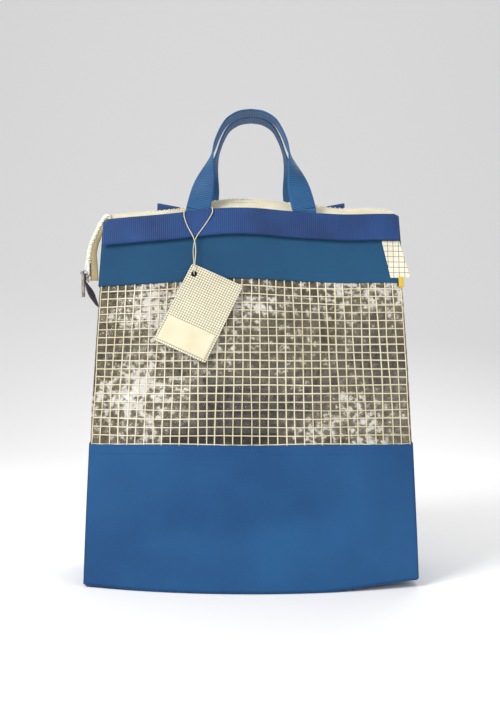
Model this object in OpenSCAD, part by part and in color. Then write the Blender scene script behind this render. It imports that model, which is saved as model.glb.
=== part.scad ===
// Rope storage bag: a soft zipped tote with a clear gridded window, two webbing handles,
// a webbing carry strap behind, and a moulded zip whose tail hangs past the left corner.
// Millimetres. +Z is up, the front faces -Y and +X is to the right as seen from the front.
// The origin is on the underside of the base, midway between the side walls.

/* [Bag] */
// Height from the base to the top edge
bag_h = 354; // [330:2:380]
// Width across the front corners at the base
base_w = 308; // [290:2:330]
// Width across the top edge
mouth_w = 291; // [280:1:300]
// Where the front wall's corners meet the base, in front of the origin
base_front = 56; // [50:1:62]
// Where the back wall's corners meet the base, behind the origin
base_back = 56; // [52:1:62]
// How far the full front wall bows out at the base
front_bow = 24; // [16:1:28]
// How far the back wall bows out at the base
back_bow = 8; // [4:1:10]
// How far each side wall bows out
side_bow = 5; // [2:1:6]
// Thickness of every sewn wall
wall = 1.6; // [1.2:0.1:2]

/* [Bands] */
// Height of the lower fabric band
lower_h = 127; // [110:1:140]
// Depth of the fabric band under the top edge at the front
band_h = 68; // [60:1:76]
// Depth of the fabric band under the top edge at the back
back_band_h = 80; // [70:1:90]
// Width of the ribbed webbing on the top edge
webbing_w = 25; // [20:1:30]
// Thickness of the ribbed webbing
webbing_t = 1.4; // [1:0.1:1.8]

/* [Straps] */
// Width of the handle webbing
handle_w = 24; // [20:1:26]
// Thickness of the handle webbing
handle_t = 1.6; // [1.2:0.1:2]
// Half the distance between the front handle's legs
front_leg_x = 53; // [48:1:58]
// Half the distance between the back handle's legs
back_leg_x = 50; // [46:1:56]
// Width of the carry strap
carry_w = 25; // [20:1:28]
// Half the distance between the carry strap's ends
carry_x = 87; // [84:1:96]
// Height of the carry strap's lowest bend above the base
carry_low = 150; // [130:5:190]

/* [Zip] */
// Distance from one tooth to the next on the same side
tooth_pitch = 4.7; // [4:0.1:5.5]
// Thickness of a tooth
tooth_t = 3.4; // [2.6:0.2:3.6]
// Height of the closed zip above the top edge
ridge_rise = 8; // [6:1:9]
// Thickness of the zip tape
tape_t = 0.8; // [0.6:0.1:1]

/* [Tag and label] */
// Width of the hang tag
tag_w = 55; // [45:1:60]
// Length of the hang tag
tag_l = 85; // [70:1:90]
// Thickness of the hang tag's card
tag_t = 0.8; // [0.6:0.1:1.2]
// Width of the side label
label_w = 17; // [14:1:22]
// Length of the side label
label_l = 38; // [30:1:42]

/* [Hidden] */

blue = [0.16, 0.38, 0.58];
band_blue = [0.16, 0.36, 0.50];
webbing_blue = [0.16, 0.33, 0.58];
vinyl = [0.62, 0.58, 0.46, 0.5];
cream = [0.90, 0.88, 0.78];
tape_beige = [0.78, 0.73, 0.60];
zip_white = [0.93, 0.93, 0.88];
steel = [0.75, 0.74, 0.70];
plum = [0.20, 0.15, 0.20];

seam = 0.1;          // gap between walls that are sewn edge to edge
top_front = 3;       // outer face of the front wall at the top edge
top_back = 53;       // outer face of the back wall at the top edge
mid_y = (top_front + top_back) / 2;
bow_fade = 1.4;      // how fast the bows die away up the wall
flare_fade = 1.9;    // how the side edges draw in towards the mouth
cols = 12;           // steps across a wall
rows = 6;            // steps up a wall
layer_gap = 0.2;     // air between sewn layers at the top edge
fold_rise = 3.5;     // height above the top edge at which the straps bend
strap_front = top_front - layer_gap - handle_t / 2;
strap_back = top_back + layer_gap + handle_t / 2;
tape_root = wall + 0.4;  // the zip tapes start this far inside the outer faces
tape_base = 0.4;     // height of the tapes' fold above the top edge
flat_tape = 4.3;     // flat width of tape beside the teeth
tape_grip = 2.6;     // the tape starts this far from the middle of the teeth
tooth_reach = 1.5;   // a tooth reaches this far past the middle
tooth_back = 4.0;    // and this far back over its own tape
zip_half = 141;      // half the length of the toothed mouth
string_r = 0.5;
tag_leg = -front_leg_x;   // the leg that the tag's string loops round
arm_left = tag_leg - handle_w / 2 - 0.95;
arm_right = tag_leg + handle_w / 2 + 2.6;
string_front = top_front - 2 * layer_gap - handle_t - webbing_t - layer_gap - string_r - 0.2;

// ---- shape of the walls ----

function rise(z) = min(1, max(0, z / bag_h));
function half_w(z) = base_w / 2 - (base_w - mouth_w) / 2 * pow(rise(z), flare_fade);
function bow(x, z) = pow(1 - rise(z), bow_fade) * (1 - pow(x / half_w(z), 2));
function front_y(x, z) = -base_front + (base_front + top_front) * rise(z) - front_bow * bow(x, z);
function back_y(x, z) = base_back + (top_back - base_back) * rise(z) + back_bow * bow(x, z);
function side_x(v, z) = half_w(z) + side_bow * 4 * v * (1 - v) * sin(180 * rise(z));

// ---- building blocks ----

// A closed skin between two grids of points that face each other.
module skin(a, b) {
    r = len(a);
    c = len(a[0]);
    n = r * c;
    across = cross(a[1][0] - a[0][0], a[0][1] - a[0][0]);
    flip = across * (b[0][0] - a[0][0]) < 0;
    function id(i, j) = i * c + j;
    top = [for (i = [0:r - 2], j = [0:c - 2]) each [
        [id(i, j), id(i + 1, j), id(i + 1, j + 1)], [id(i, j), id(i + 1, j + 1), id(i, j + 1)]]];
    bottom = [for (f = top) [f[0] + n, f[2] + n, f[1] + n]];
    ends = [for (j = [0:c - 2], i = [0, r - 1]) each i == 0
        ? [[id(i, j), id(i, j + 1), id(i, j + 1) + n], [id(i, j), id(i, j + 1) + n, id(i, j) + n]]
        : [[id(i, j), id(i, j + 1) + n, id(i, j + 1)], [id(i, j), id(i, j) + n, id(i, j + 1) + n]]];
    sides = [for (i = [0:r - 2], j = [0, c - 1]) each j == 0
        ? [[id(i, j), id(i + 1, j) + n, id(i + 1, j)], [id(i, j), id(i, j) + n, id(i + 1, j) + n]]
        : [[id(i, j), id(i + 1, j), id(i + 1, j) + n], [id(i, j), id(i + 1, j) + n, id(i, j) + n]]];
    faces = concat(top, bottom, ends, sides);
    points = concat([for (row = a) each row], [for (row = b) each row]);
    polyhedron(points, [for (f = faces) flip ? f : [f[0], f[2], f[1]]]);
}

// A front or back wall between two heights; out moves it off the wall's outer face.
module face_wall(side, z0, z1, out = 0, t = wall, trim = 0, steps = rows) {
    s = side == "front" ? -1 : 1;
    function y(x, z) = side == "front" ? front_y(x, z) : back_y(x, z);
    function grid(o) = [for (i = [0:steps]) let (z = z0 + (z1 - z0) * i / steps, h = half_w(z) - trim)
        [for (j = [0:cols]) let (x = -h + 2 * h * j / cols) [x, y(x, z) + s * o, z]]];
    skin(grid(out), grid(out - t));
}

// A side wall between two heights, from just behind the front wall to just before the back wall.
module side_wall(side, z0, z1, inside = 0, t = wall, trim = 0, steps = rows) {
    s = side == "left" ? -1 : 1;
    function grid(o) = [for (i = [0:steps]) let (z = z0 + (z1 - z0) * i / steps, h = half_w(z),
        near = front_y(h, z) + wall + seam + trim, far = back_y(h, z) - wall - seam - trim)
        [for (j = [0:rows]) let (v = j / rows) [s * (side_x(v, z) - o), near + (far - near) * v, z]]];
    skin(grid(inside), grid(inside + t));
}

// A tape sewn inside a vertical corner seam.
module corner_binding(face, side) {
    s = side == "left" ? -1 : 1;
    f = face == "front" ? 1 : -1;
    width = 8;
    function y(x, z) = face == "front" ? front_y(x, z) : back_y(x, z);
    function grid(o) = [for (i = [0:rows]) let (z = 12 + (bag_h - 16) * i / rows)
        [for (j = [0, 1]) let (x = half_w(z) - wall - 0.5 - width * j)
        [s * x, y(x, z) + f * (wall + 0.4 + o), z]]];
    color(cream) skin(grid(0), grid(binding_t));
}

// A flat strap through frames of [centre, width direction, face direction].
module ribbon(frames, width, t) {
    function edge(k) = [for (f = frames)
        [for (s = [-1, 1]) f[0] + s * width / 2 * f[1] + k * t / 2 * f[2]]];
    skin(edge(1), edge(-1));
}

// A round cord through a list of points; ref is a direction that it never runs along.
module cord(points, r, ref, sides = 8) {
    n = len(points);
    function dir(i) = unit(points[min(i + 1, n - 1)] - points[max(i - 1, 0)]);
    function ring(i) = let (d = dir(i), u = unit(cross(ref, d)), v = cross(d, u))
        [for (k = [0:sides - 1]) points[i] + r * (cos(360 * k / sides) * u + sin(360 * k / sides) * v)];
    walls = [for (i = [0:n - 2], k = [0:sides - 1])
        let (m = (k + 1) % sides, p = i * sides, q = p + sides)
        each [[p + k, q + k, q + m], [p + k, q + m, p + m]]];
    first = [[for (k = [0:sides - 1]) k]];
    last = [[for (k = [0:sides - 1]) n * sides - 1 - k]];
    polyhedron([for (i = [0:n - 1]) each ring(i)], concat(first, walls, last));
}

function unit(v) = v / norm(v);
function blend(a, b, t) = a + (b - a) * t;
function ease(t) = let (c = min(1, max(0, t))) c * c * (3 - 2 * c);

// A smooth curve through a few points.
function spline(p, steps) = let (n = len(p)) concat(
    [for (i = [0:n - 2], k = [0:steps - 1]) let (t = k / steps, a = p[max(i - 1, 0)], b = p[i],
        c = p[i + 1], d = p[min(i + 2, n - 1)])
        0.5 * ((2 * b) + (c - a) * t + (2 * a - 5 * b + 4 * c - d) * t * t
        + (3 * b - a - 3 * c + d) * t * t * t)], [p[n - 1]]);

// ---- handles and carry strap ----

handle_rise = 100.7;  // from the bend to the middle of the crown
// Right half of a handle's outline from the leg to the crown, as [share of leg_x, height above the bend]
handle_shape = [[1, 0], [0.935, 14], [0.83, 39], [0.735, 58], [0.655, 72], [0.565, 83],
    [0.44, 92.5], [0.23, 98.9], [0, handle_rise]];
crown_lean = 13.4;    // how far a crown leans in over the mouth

// Angle by which the strap has turned edge on, at a height above its bend.
function twist(up, total) = 90 * ease((up - 1.5) / (total * 0.68));

function handle_frames(leg_x, y0, s) = let (
    half = spline(handle_shape, 3),
    n = len(half),
    right = [for (p = half) [p[0] * leg_x, p[1]]],
    path = concat([for (i = [0:n - 1]) [-right[i][0], right[i][1]]], [for (i = [n - 2:-1:0]) right[i]]),
    m = len(path))
    [for (i = [0:m - 1]) let (
        d = i == 0 ? [0, 1] : i == m - 1 ? [0, -1] : unit(path[i + 1] - path[i - 1]),
        up = path[i][1],
        a = twist(up, handle_rise),
        out = [-d[1], 0, d[0]],
        lean = crown_lean * ease(up / handle_rise),
        face = cos(a) * [0, s, 0] + sin(a) * out)
        [[path[i][0], y0 - s * lean, bag_h + fold_rise + up], cross([d[0], 0, d[1]], face), face]];

// The sewn end of a strap, flat against a band, from under the webbing to just below the bend.
module sewn_end(side, x) {
    s = side == "front" ? -1 : 1;
    function y(z) = side == "front" ? front_y(x, z) : back_y(x, z);
    function face(o) = [for (z = [bag_h + 2 - webbing_w, bag_h, bag_h + fold_rise - handle_t / 2 - 0.9])
        [for (e = [-1, 1]) [x + e * handle_w / 2, y(z) + s * (layer_gap + o), z]]];
    skin(face(handle_t), face(0));
}

module front_handle() color(webbing_blue)
    ribbon(handle_frames(front_leg_x, strap_front, -1), handle_w, handle_t);
module back_handle() color(webbing_blue)
    ribbon(handle_frames(back_leg_x, strap_back, 1), handle_w, handle_t);
module front_handle_ends() color(webbing_blue) for (s = [-1, 1]) sewn_end("front", s * front_leg_x);
module back_handle_ends() color(webbing_blue) for (s = [-1, 1]) sewn_end("back", s * back_leg_x);

carry_fold = 9;       // height of the carry strap's bend above the top edge
carry_out = 5.5;      // how far behind the strap ends the folded strap hangs
carry_lean = 17;      // how much further out its lowest bend hangs
// Right half of the hanging strap as [share of carry_x, share of its drop]
carry_shape = [[1, 0], [1, 0.16], [0.985, 0.42], [0.95, 0.62], [0.85, 0.79], [0.66, 0.91],
    [0.36, 0.98], [0, 1]];

function carry_frames() = let (
    drop = bag_h + fold_rise - carry_low,
    half = spline(carry_shape, 3),
    n = len(half),
    right = [for (p = half) [p[0] * carry_x, p[1] * drop]],
    path = concat([for (i = [0:n - 1]) [-right[i][0], right[i][1]]], [for (i = [n - 2:-1:0]) right[i]]),
    m = len(path))
    [for (i = [0:m - 1]) let (
        d = unit(path[min(i + 1, m - 1)] - path[max(i - 1, 0)]),
        down = path[i][1],
        a = 90 * ease((down / drop - 0.25) / 0.65),
        out = [-d[1], 0, -d[0]],
        y = strap_back + carry_out + carry_lean * ease(down / drop * 0.8 + 0.1),
        face = cos(a) * [0, 1, 0] + sin(a) * out)
        [[path[i][0], y, bag_h + fold_rise - down], cross([d[0], 0, -d[1]], face), face]];

// A sewn end of the carry strap: up from the seam, over, and down behind to the hanging stretch.
module carry_head(x) {
    fold = [[0.4, 2 - webbing_w - fold_rise], [0, -fold_rise], [0, carry_fold - 4], [0.8, carry_fold - 1],
        [carry_out / 2, carry_fold], [carry_out - 0.8, carry_fold - 1], [carry_out, carry_fold - 4],
        [carry_out, 1.1]];
    n = len(fold);
    frames = [for (i = [0:n - 1]) let (d = unit(fold[min(i + 1, n - 1)] - fold[max(i - 1, 0)]))
        [[x, strap_back + fold[i][0], bag_h + fold_rise + fold[i][1]], [1, 0, 0], [0, -d[1], d[0]]]];
    ribbon(frames, carry_w, handle_t);
}

module carry_strap() color(webbing_blue) ribbon(carry_frames(), carry_w, handle_t);
module carry_strap_ends() color(webbing_blue) for (x = [-carry_x, carry_x]) carry_head(x);

// ---- walls ----

front_split = bag_h - band_h;
back_split = bag_h - back_band_h;
floor_t = 1.8;

module base_panel() color(blue) linear_extrude(floor_t) polygon(concat(
    [for (j = [0:cols]) let (x = half_w(0) * (2 * j / cols - 1)) [x, front_y(x, 0)]],
    [for (j = [cols:-1:0]) let (x = half_w(0) * (2 * j / cols - 1)) [x, back_y(x, 0)]]));

wall_foot = floor_t + seam;
module front_lower_panel() color(blue) face_wall("front", wall_foot, lower_h);
module back_lower_panel() color(blue) face_wall("back", wall_foot, lower_h);
module left_lower_side() color(blue) side_wall("left", wall_foot, lower_h);
module right_lower_side() color(blue) side_wall("right", wall_foot, lower_h);
module front_window() color(vinyl) face_wall("front", lower_h + seam, front_split - seam);
module back_window() color(vinyl) face_wall("back", lower_h + seam, back_split - seam);
module left_window_side() color(vinyl) side_wall("left", lower_h + seam, front_split - seam);
module right_window_side() color(vinyl) side_wall("right", lower_h + seam, front_split - seam);
module front_band() color(band_blue) face_wall("front", front_split, bag_h);
module back_band() color(band_blue) face_wall("back", back_split, bag_h);
module left_band_side() color(band_blue) side_wall("left", front_split, bag_h - 1);
module right_band_side() color(band_blue) side_wall("right", front_split, bag_h - 1);

webbing_out = 2 * layer_gap + handle_t + webbing_t;
module top_webbing(side) color(webbing_blue)
    face_wall(side, bag_h - webbing_w, bag_h, out = webbing_out, t = webbing_t, trim = 0.5, steps = 2);
module front_webbing() top_webbing("front");
module back_webbing() top_webbing("back");

// A tape sewn inside the seam round the base, in four strips
binding_t = 1;
base_tape_h = 8;
module base_binding() color(cream) {
    for (side = ["front", "back"])
        face_wall(side, wall_foot, wall_foot + base_tape_h, -wall - 0.3, binding_t, 2 * wall, 2);
    for (side = ["left", "right"])
        side_wall(side, wall_foot, wall_foot + base_tape_h, wall + 0.3, binding_t, wall, 2);
}

module front_left_binding() corner_binding("front", "left");
module front_right_binding() corner_binding("front", "right");
module back_left_binding() corner_binding("back", "left");
module back_right_binding() corner_binding("back", "right");

// ---- zip over the mouth ----

ridge_z = bag_h + ridge_rise;
fold_y = top_front + tape_root + tape_t / 2;  // the front tape's fold; the back one mirrors it

// One half of the zip tape, from its fold up to the teeth, drawn for the front.
module half_tape() {
    run = [[fold_y, bag_h + tape_base], [mid_y - tape_grip - flat_tape, ridge_z],
        [mid_y - tape_grip, ridge_z]];
    n = len(run);
    frames = [for (i = [0:n - 1])
        let (d = unit(run[min(i + 1, n - 1)] - run[max(i - 1, 0)])) [run[i], d]];
    function edge(k) = [for (f = frames) [for (x = [-zip_half - 3, zip_half + 3])
        [x, f[0][0] - k * tape_t / 2 * f[1][1], f[0][1] + k * tape_t / 2 * f[1][0]]]];
    skin(edge(1), edge(-1));
}

tooth_w = tooth_pitch / 2 - 0.45;
jaw_gap = 0.15;       // air between a tooth's jaws and the tape they hold
teeth_count = floor(2 * zip_half / tooth_pitch);

// A row of teeth on one side: a grip over the tape edge and a head that meets the other row.
module tooth(w = tooth_w) {
    jaw = tooth_t / 2 - tape_t / 2 - jaw_gap;
    for (z = [tape_t / 2 + jaw_gap, -tooth_t / 2])
        translate([-w / 2, -tooth_back, z]) cube([w, tooth_back - tape_grip + 0.5, jaw]);
    translate([-w / 2, -tape_grip + jaw_gap, -tooth_t / 2]) cube([w, tape_grip + tooth_reach, tooth_t]);
}

module teeth_row(shift) for (i = [0:teeth_count - 1])
    translate([-zip_half + tooth_pitch * (i + shift), mid_y, ridge_z]) tooth();

module front_zip_tape() color(tape_beige) half_tape();
module back_zip_tape() color(tape_beige) translate([0, 2 * mid_y, 0]) mirror([0, 1, 0]) half_tape();
module front_zip_teeth() color(zip_white) teeth_row(0.25);
module back_zip_teeth() color(zip_white)
    translate([0, 2 * mid_y, 0]) mirror([0, 1, 0]) teeth_row(0.75);

// ---- zip tail past the left corner ----

// Middle of the closed teeth along the tail, round numbers from the corner down
tail_path = [[-148.5, 27, 359], [-152.5, 26.3, 349], [-157, 25, 338], [-161.5, 23.5, 327],
    [-164, 22.8, 316]];
tail_dir = unit([-0.03, -0.02, -1]);
tail_straight = 27;   // length of the straight lower stretch
tail_root_out = unit([-0.9, -0.05, 0.4]);
tail_end_out = unit([-0.82, -0.55, 0]);
tail_splay = 52;      // angle of each tape away from straight back
tail_line = spline(concat(tail_path,
    [for (k = [1:4]) tail_path[4] + tail_dir * tail_straight * k / 4]), 2);
tail_n = len(tail_line);
// Distance along the tail of each of its points
tail_at = [for (i = 0, a = 0; i < tail_n; i = i + 1,
    a = i < tail_n ? a + norm(tail_line[i] - tail_line[i - 1]) : a) a];
tail_len = tail_at[tail_n - 1];

function tail_frame(i) = let (
    t = unit(tail_line[min(i + 1, tail_n - 1)] - tail_line[max(i - 1, 0)]),
    raw = blend(tail_root_out, tail_end_out, ease(i / 8)),
    n = unit(raw - (raw * t) * t))
    [tail_line[i], t, n, cross(t, n)];

// A tape of the tail; side is -1 for the front tape and 1 for the back one.
module tail_tape(side, widths) {
    function section(i, k) = let (f = tail_frame(i), b = side * f[3], n = f[2],
        w = widths[0] + (widths[1] - widths[0]) * i / (tail_n - 1),
        flat = f[0] + b * (tape_grip + flat_tape),
        fall = b * sin(tail_splay) - n * cos(tail_splay),
        fall_n = n * sin(tail_splay) + b * cos(tail_splay),
        mid_n = unit(n + fall_n))
        [f[0] + b * tape_grip + n * k, flat + mid_n * k, flat + fall * w + fall_n * k];
    skin([for (i = [0:tail_n - 1]) section(i, tape_t / 2)],
        [for (i = [0:tail_n - 1]) section(i, -tape_t / 2)]);
}

// Places its children in the tail's own frame: X down the tail, Y towards the back tape, Z outwards.
module on_tail(d) {
    i = max([for (k = [0:tail_n - 2]) tail_at[k] <= d ? k : 0]);
    f = tail_frame(i);
    g = tail_frame(i + 1);
    s = (d - tail_at[i]) / (tail_at[i + 1] - tail_at[i]);
    p = blend(f[0], g[0], s);
    t = unit(tail_line[i + 1] - tail_line[i]);
    n0 = blend(f[2], g[2], s);
    n = unit(n0 - (n0 * t) * t);
    b = cross(t, n);
    multmatrix([[t[0], b[0], n[0], p[0]], [t[1], b[1], n[1], p[1]],
        [t[2], b[2], n[2], p[2]], [0, 0, 0, 1]]) children();
}

slider_l = 16;
slider_w = 12.4;
slider_mid = tail_len - 13;
teeth_last = slider_mid - slider_l / 2 + 1;
tail_teeth_n = floor((teeth_last - 2) / tooth_pitch);

module tail_teeth(side, shift) for (i = [0:tail_teeth_n - 1])
    on_tail(2 + tooth_pitch * (i + shift)) mirror([0, side > 0 ? 1 : 0, 0]) tooth(tooth_w - 0.2);

module tail_front_tape() color(tape_beige) tail_tape(-1, [1.2, 7]);
module tail_back_tape() color(zip_white) tail_tape(1, [5, 8]);
module tail_front_teeth() color(zip_white) tail_teeth(-1, 0.25);
module tail_back_teeth() color(zip_white) tail_teeth(1, 0.75);

// A moulded block across both tapes below the slider.
module zip_end_stop() color(zip_white) on_tail(slider_mid + slider_l / 2 + 2.6) {
    translate([-1.6, -2.4, -1.6]) cube([3.2, 4.8, 3.2]);
    for (s = [-1, 1], z = [-1.6, tape_t / 2 + 0.02])
        translate([-1.6, s * 4.0 - 1.7, z]) cube([3.2, 3.4, 1.6 - tape_t / 2 - 0.02]);
}

// ---- slider, tab and pull ----

channel = 4.4;        // clear height inside the slider
plate_t = 1.3;
post_l = 2.4;
post_w = 1.8;
crown_r = 1.0;        // radius of the bar the tab hangs on
bar_half = 4.5;       // half the length of that bar
crown_x = 5.2;        // the bar's place along the slider
crown_z = channel / 2 + plate_t + 2.6;

module slider_plate() linear_extrude(plate_t) {
    translate([-slider_l / 2 + 4, 0]) circle(r = 4, $fn = 40);
    polygon([[-slider_l / 2 + 2, -3.5], [slider_l / 2 - 1, -slider_w / 2],
        [slider_l / 2, -slider_w / 2 + 1], [slider_l / 2, slider_w / 2 - 1],
        [slider_l / 2 - 1, slider_w / 2], [-slider_l / 2 + 2, 3.5]]);
}

module zip_slider() color(zip_white) on_tail(slider_mid) {
    translate([0, 0, channel / 2]) slider_plate();
    translate([0, 0, -channel / 2 - plate_t]) slider_plate();
    // the post between the two tapes joins the plates where the teeth come apart
    translate([slider_l / 2 - post_l, -post_w / 2, -channel / 2]) cube([post_l, post_w, channel]);
    // the crown: two posts and the bar that the tab and the leather swing on
    for (s = [-1, 1]) translate([crown_x - 1.2, s * (bar_half + 0.6) - 0.7, channel / 2 + plate_t - 0.01])
        cube([2.4, 1.4, 3.6]);
    translate([crown_x, -bar_half, crown_z]) rotate([-90, 0, 0])
        cylinder(r = crown_r, h = 2 * bar_half, $fn = 32);
}

// The bar's middle and direction, and the way down square to it, along which the tab hangs
end_frame = tail_frame(tail_n - 1);
bar_mid = end_frame[0] + tail_dir * (slider_mid + crown_x - tail_len) + end_frame[2] * crown_z;
bar_dir = end_frame[3];
tab_up = unit([0, 0, 1] - bar_dir[2] * bar_dir);
tab_out = cross(bar_dir, tab_up);

// Places children with X out of the tab's face, Y up the tab and Z along the bar.
module on_bar() multmatrix([[tab_out[0], tab_up[0], -bar_dir[0], bar_mid[0]],
    [tab_out[1], tab_up[1], -bar_dir[1], bar_mid[1]], [tab_out[2], tab_up[2], -bar_dir[2], bar_mid[2]],
    [0, 0, 0, 1]]) children();

tab_w = 5.8;
tab_l = 25;
tab_t = 1.7;
eye_r = crown_r + 1.1;    // outside of the eyes round the bar
bore_r = crown_r + 0.05;
tab_from = -bar_half + 0.2;
module pull_tab() color(steel) on_bar() translate([0, 0, tab_from]) difference() {
    union() {
        cylinder(r = eye_r, h = tab_w, $fn = 48);
        translate([-tab_t / 2, -tab_l, 0]) cube([tab_t, tab_l, tab_w]);
    }
    translate([0, 0, -1]) cylinder(r = bore_r, h = tab_w + 2, $fn = 48);
    translate([-tab_t, -tab_l + 3.6, tab_w / 2]) rotate([0, 90, 0])
        cylinder(r = 1.7, h = 2 * tab_t, $fn = 32);
}

// A leather leaf beside the tab: an eye round the bar, a short neck and a slanting blade.
neck_l = 9.5;
neck_r = 1.3;
blade_l = 29;
blade_r = 3.4;
pull_t = 2;
pull_slant = 30;
pull_from = tab_from + tab_w + 0.4;
module leather_pull() color(plum) on_bar() translate([0, 0, pull_from])
    linear_extrude(pull_t) difference() {
    union() {
        circle(r = eye_r, $fn = 48);
        translate([-neck_r, -neck_l]) square([2 * neck_r, neck_l]);
        translate([0, -neck_l]) rotate(pull_slant) hull() {
            circle(r = neck_r, $fn = 48);
            translate([0, -blade_l * 0.4]) circle(r = blade_r, $fn = 96);
            translate([0, -blade_l]) circle(r = 0.6, $fn = 24);
        }
    }
    circle(r = bore_r, $fn = 48);
}

// ---- hang tag on its string ----

loop_z = bag_h + 1.3;
loop_back = strap_front + handle_t / 2 + 0.25 + string_r;
hole_in = [6.5, 9.2];     // the hole from the tag's upper left corner
tag_turn = 25;            // the tag hangs turned, because its hole is in a corner
tag_tip = 13.5;           // it leans along the sloping window
tag_hole = [-55.5, -12.9, 292.5];

module tag_string_loop() color(zip_white) cord([
    [arm_left, string_front + 0.7, loop_z], [arm_left, 1.5, loop_z],
    [arm_left + 0.5, loop_back - 0.4, loop_z], [arm_left + 1.6, loop_back, loop_z],
    [arm_right - 1.6, loop_back, loop_z], [arm_right - 0.5, loop_back - 0.4, loop_z],
    [arm_right, 1.5, loop_z], [arm_right, string_front + 0.7, loop_z]], string_r, [0, 0, 1]);

// Down from the left of the leg, through the tag's hole and back up to the right of the leg
string_path = [[arm_left, string_front, loop_z - 0.7], [arm_left, -2.4, loop_z - 6],
    [-62.5, -4.6, 340], [-56.5, -7.4, 329], [-54.2, -9.4, 318], [-54.6, -12.2, 306], [-55.3, -14.6, 297],
    [-55.5, -14.7, 293.6], [-55.5, -12.9, 292.2], [-55.5, -11.1, 293.2], [-55.7, -10.3, 297],
    [-56.2, -8.6, 306], [-56.6, -7.2, 318], [-54, -5.9, 329], [-46, -3.8, 340],
    [arm_right, -2.4, loop_z - 6], [arm_right, string_front, loop_z - 0.7]];
module tag_string() color(zip_white) cord(string_path, string_r, [1, 0, 0]);

// Places children on the tag: X and Y in its plane from the hole, Z out of its front.
module on_tag() translate(tag_hole) rotate([90 - tag_tip, 0, 0]) rotate([0, 0, -tag_turn]) children();

hole_r = 3.0;
eyelet_r = 2.3;
module hang_tag() color(cream) on_tag()
    translate([-hole_in[0], hole_in[1] - tag_l, -tag_t / 2]) difference() {
    cube([tag_w, tag_l, tag_t]);
    translate([hole_in[0], tag_l - hole_in[1], -1]) cylinder(r = hole_r, h = 3, $fn = 48);
}
module tag_eyelet() color(plum) on_tag() translate([0, 0, -tag_t / 2]) difference() {
    cylinder(r = hole_r - 0.02, h = tag_t, $fn = 48);
    translate([0, 0, -1]) cylinder(r = eyelet_r, h = 3, $fn = 48);
}

// ---- side label ----

label_top = bag_h - webbing_w - 1.2;
label_x = half_w(label_top) - label_w - 0.4;
label_off = front_y(label_x, label_top) - 0.5;
label_lean = atan((base_front + top_front) / bag_h) + 1;
label_drift = 8;      // its free end has swung out past the bag's edge
module side_label() color(cream) translate([label_x, label_off, label_top])
    rotate([-label_lean, 0, 0]) rotate([90, 0, 0]) linear_extrude(0.8)
    polygon([[0, 0], [label_w, 0], [label_w + label_drift + 2, 1 - label_l], [label_drift, -label_l]]);

base_panel();
front_lower_panel();
back_lower_panel();
left_lower_side();
right_lower_side();
front_window();
back_window();
left_window_side();
right_window_side();
front_band();
back_band();
left_band_side();
right_band_side();
front_webbing();
back_webbing();
front_left_binding();
front_right_binding();
back_left_binding();
back_right_binding();
base_binding();
front_handle_ends();
back_handle_ends();
carry_strap_ends();
front_handle();
back_handle();
carry_strap();
front_zip_tape();
back_zip_tape();
front_zip_teeth();
back_zip_teeth();
tail_front_tape();
tail_back_tape();
tail_front_teeth();
tail_back_teeth();
zip_end_stop();
zip_slider();
pull_tab();
leather_pull();
tag_string_loop();
tag_string();
hang_tag();
tag_eyelet();
side_label();
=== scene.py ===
import bpy, math
import numpy as np
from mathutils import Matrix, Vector


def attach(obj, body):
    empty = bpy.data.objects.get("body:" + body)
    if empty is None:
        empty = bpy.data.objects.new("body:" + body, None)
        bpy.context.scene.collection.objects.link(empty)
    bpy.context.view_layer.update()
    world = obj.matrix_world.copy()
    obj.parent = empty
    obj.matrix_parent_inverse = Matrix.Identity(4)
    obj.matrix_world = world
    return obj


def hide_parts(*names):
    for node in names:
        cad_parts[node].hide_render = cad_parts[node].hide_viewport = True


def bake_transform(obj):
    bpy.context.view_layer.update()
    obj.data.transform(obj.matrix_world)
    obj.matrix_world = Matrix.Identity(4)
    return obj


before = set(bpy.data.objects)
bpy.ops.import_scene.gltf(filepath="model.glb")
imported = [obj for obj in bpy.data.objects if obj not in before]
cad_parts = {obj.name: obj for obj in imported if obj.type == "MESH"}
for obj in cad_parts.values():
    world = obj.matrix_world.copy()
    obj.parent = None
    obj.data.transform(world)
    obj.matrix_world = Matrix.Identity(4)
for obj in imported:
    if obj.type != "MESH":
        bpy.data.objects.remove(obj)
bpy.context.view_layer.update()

sc = bpy.context.scene
col = sc.collection

# ---------------------------------------------------------------- camera
cam = bpy.data.objects.new("camera", bpy.data.cameras.new("camera"))
cam.data.lens = 41.75
cam.data.sensor_width = 36
cam.location = (-0.001, -0.813, 0.215)
cam.rotation_euler = (math.pi / 2, 0, 0)
cam.data.clip_start = 0.01
col.objects.link(cam)
sc.camera = cam
sc.view_settings.view_transform = "Standard"

# ---------------------------------------------------------------- shape of the bag, in millimetres
H, BW, MW = 354.0, 308.0, 291.0
BF, BB, TF, TB = 56.0, 56.0, 3.0, 53.0
LOWER, SPLIT_F, SPLIT_B = 127.0, 286.0, 274.0
MID = (TF + TB) / 2
SIDE_D = 110.0   # depth of a side wall at the base


def rise(z):
    return np.clip(np.asarray(z, float) / H, 0, 1)


def half_w(z):
    return BW / 2 - (BW - MW) / 2 * rise(z) ** 1.9


def bow(x, z):
    return (1 - rise(z)) ** 1.4 * (1 - (x / half_w(z)) ** 2)


def front_y(x, z):
    return -BF + (BF + TF) * rise(z) - 24 * bow(x, z)


def back_y(x, z):
    return BB + (TB - BB) * rise(z) + 8 * bow(x, z)


def side_x(v, z):
    return half_w(z) + 5 * 4 * v * (1 - v) * np.sin(np.pi * rise(z))


ARCH_X = np.array([-150, -130, -96, -71, -44, -20, 5, 37, 61, 93, 130, 150.0])
ARCH_Z = np.array([-7.5, -5.4, -2.6, -0.2, 3.4, 5.0, 4.6, 1.3, -0.4, -2.2, -1.2, -1.6])


def smooth(t):
    t = np.clip(t, 0, 1)
    return t * t * (3 - 2 * t)


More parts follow.
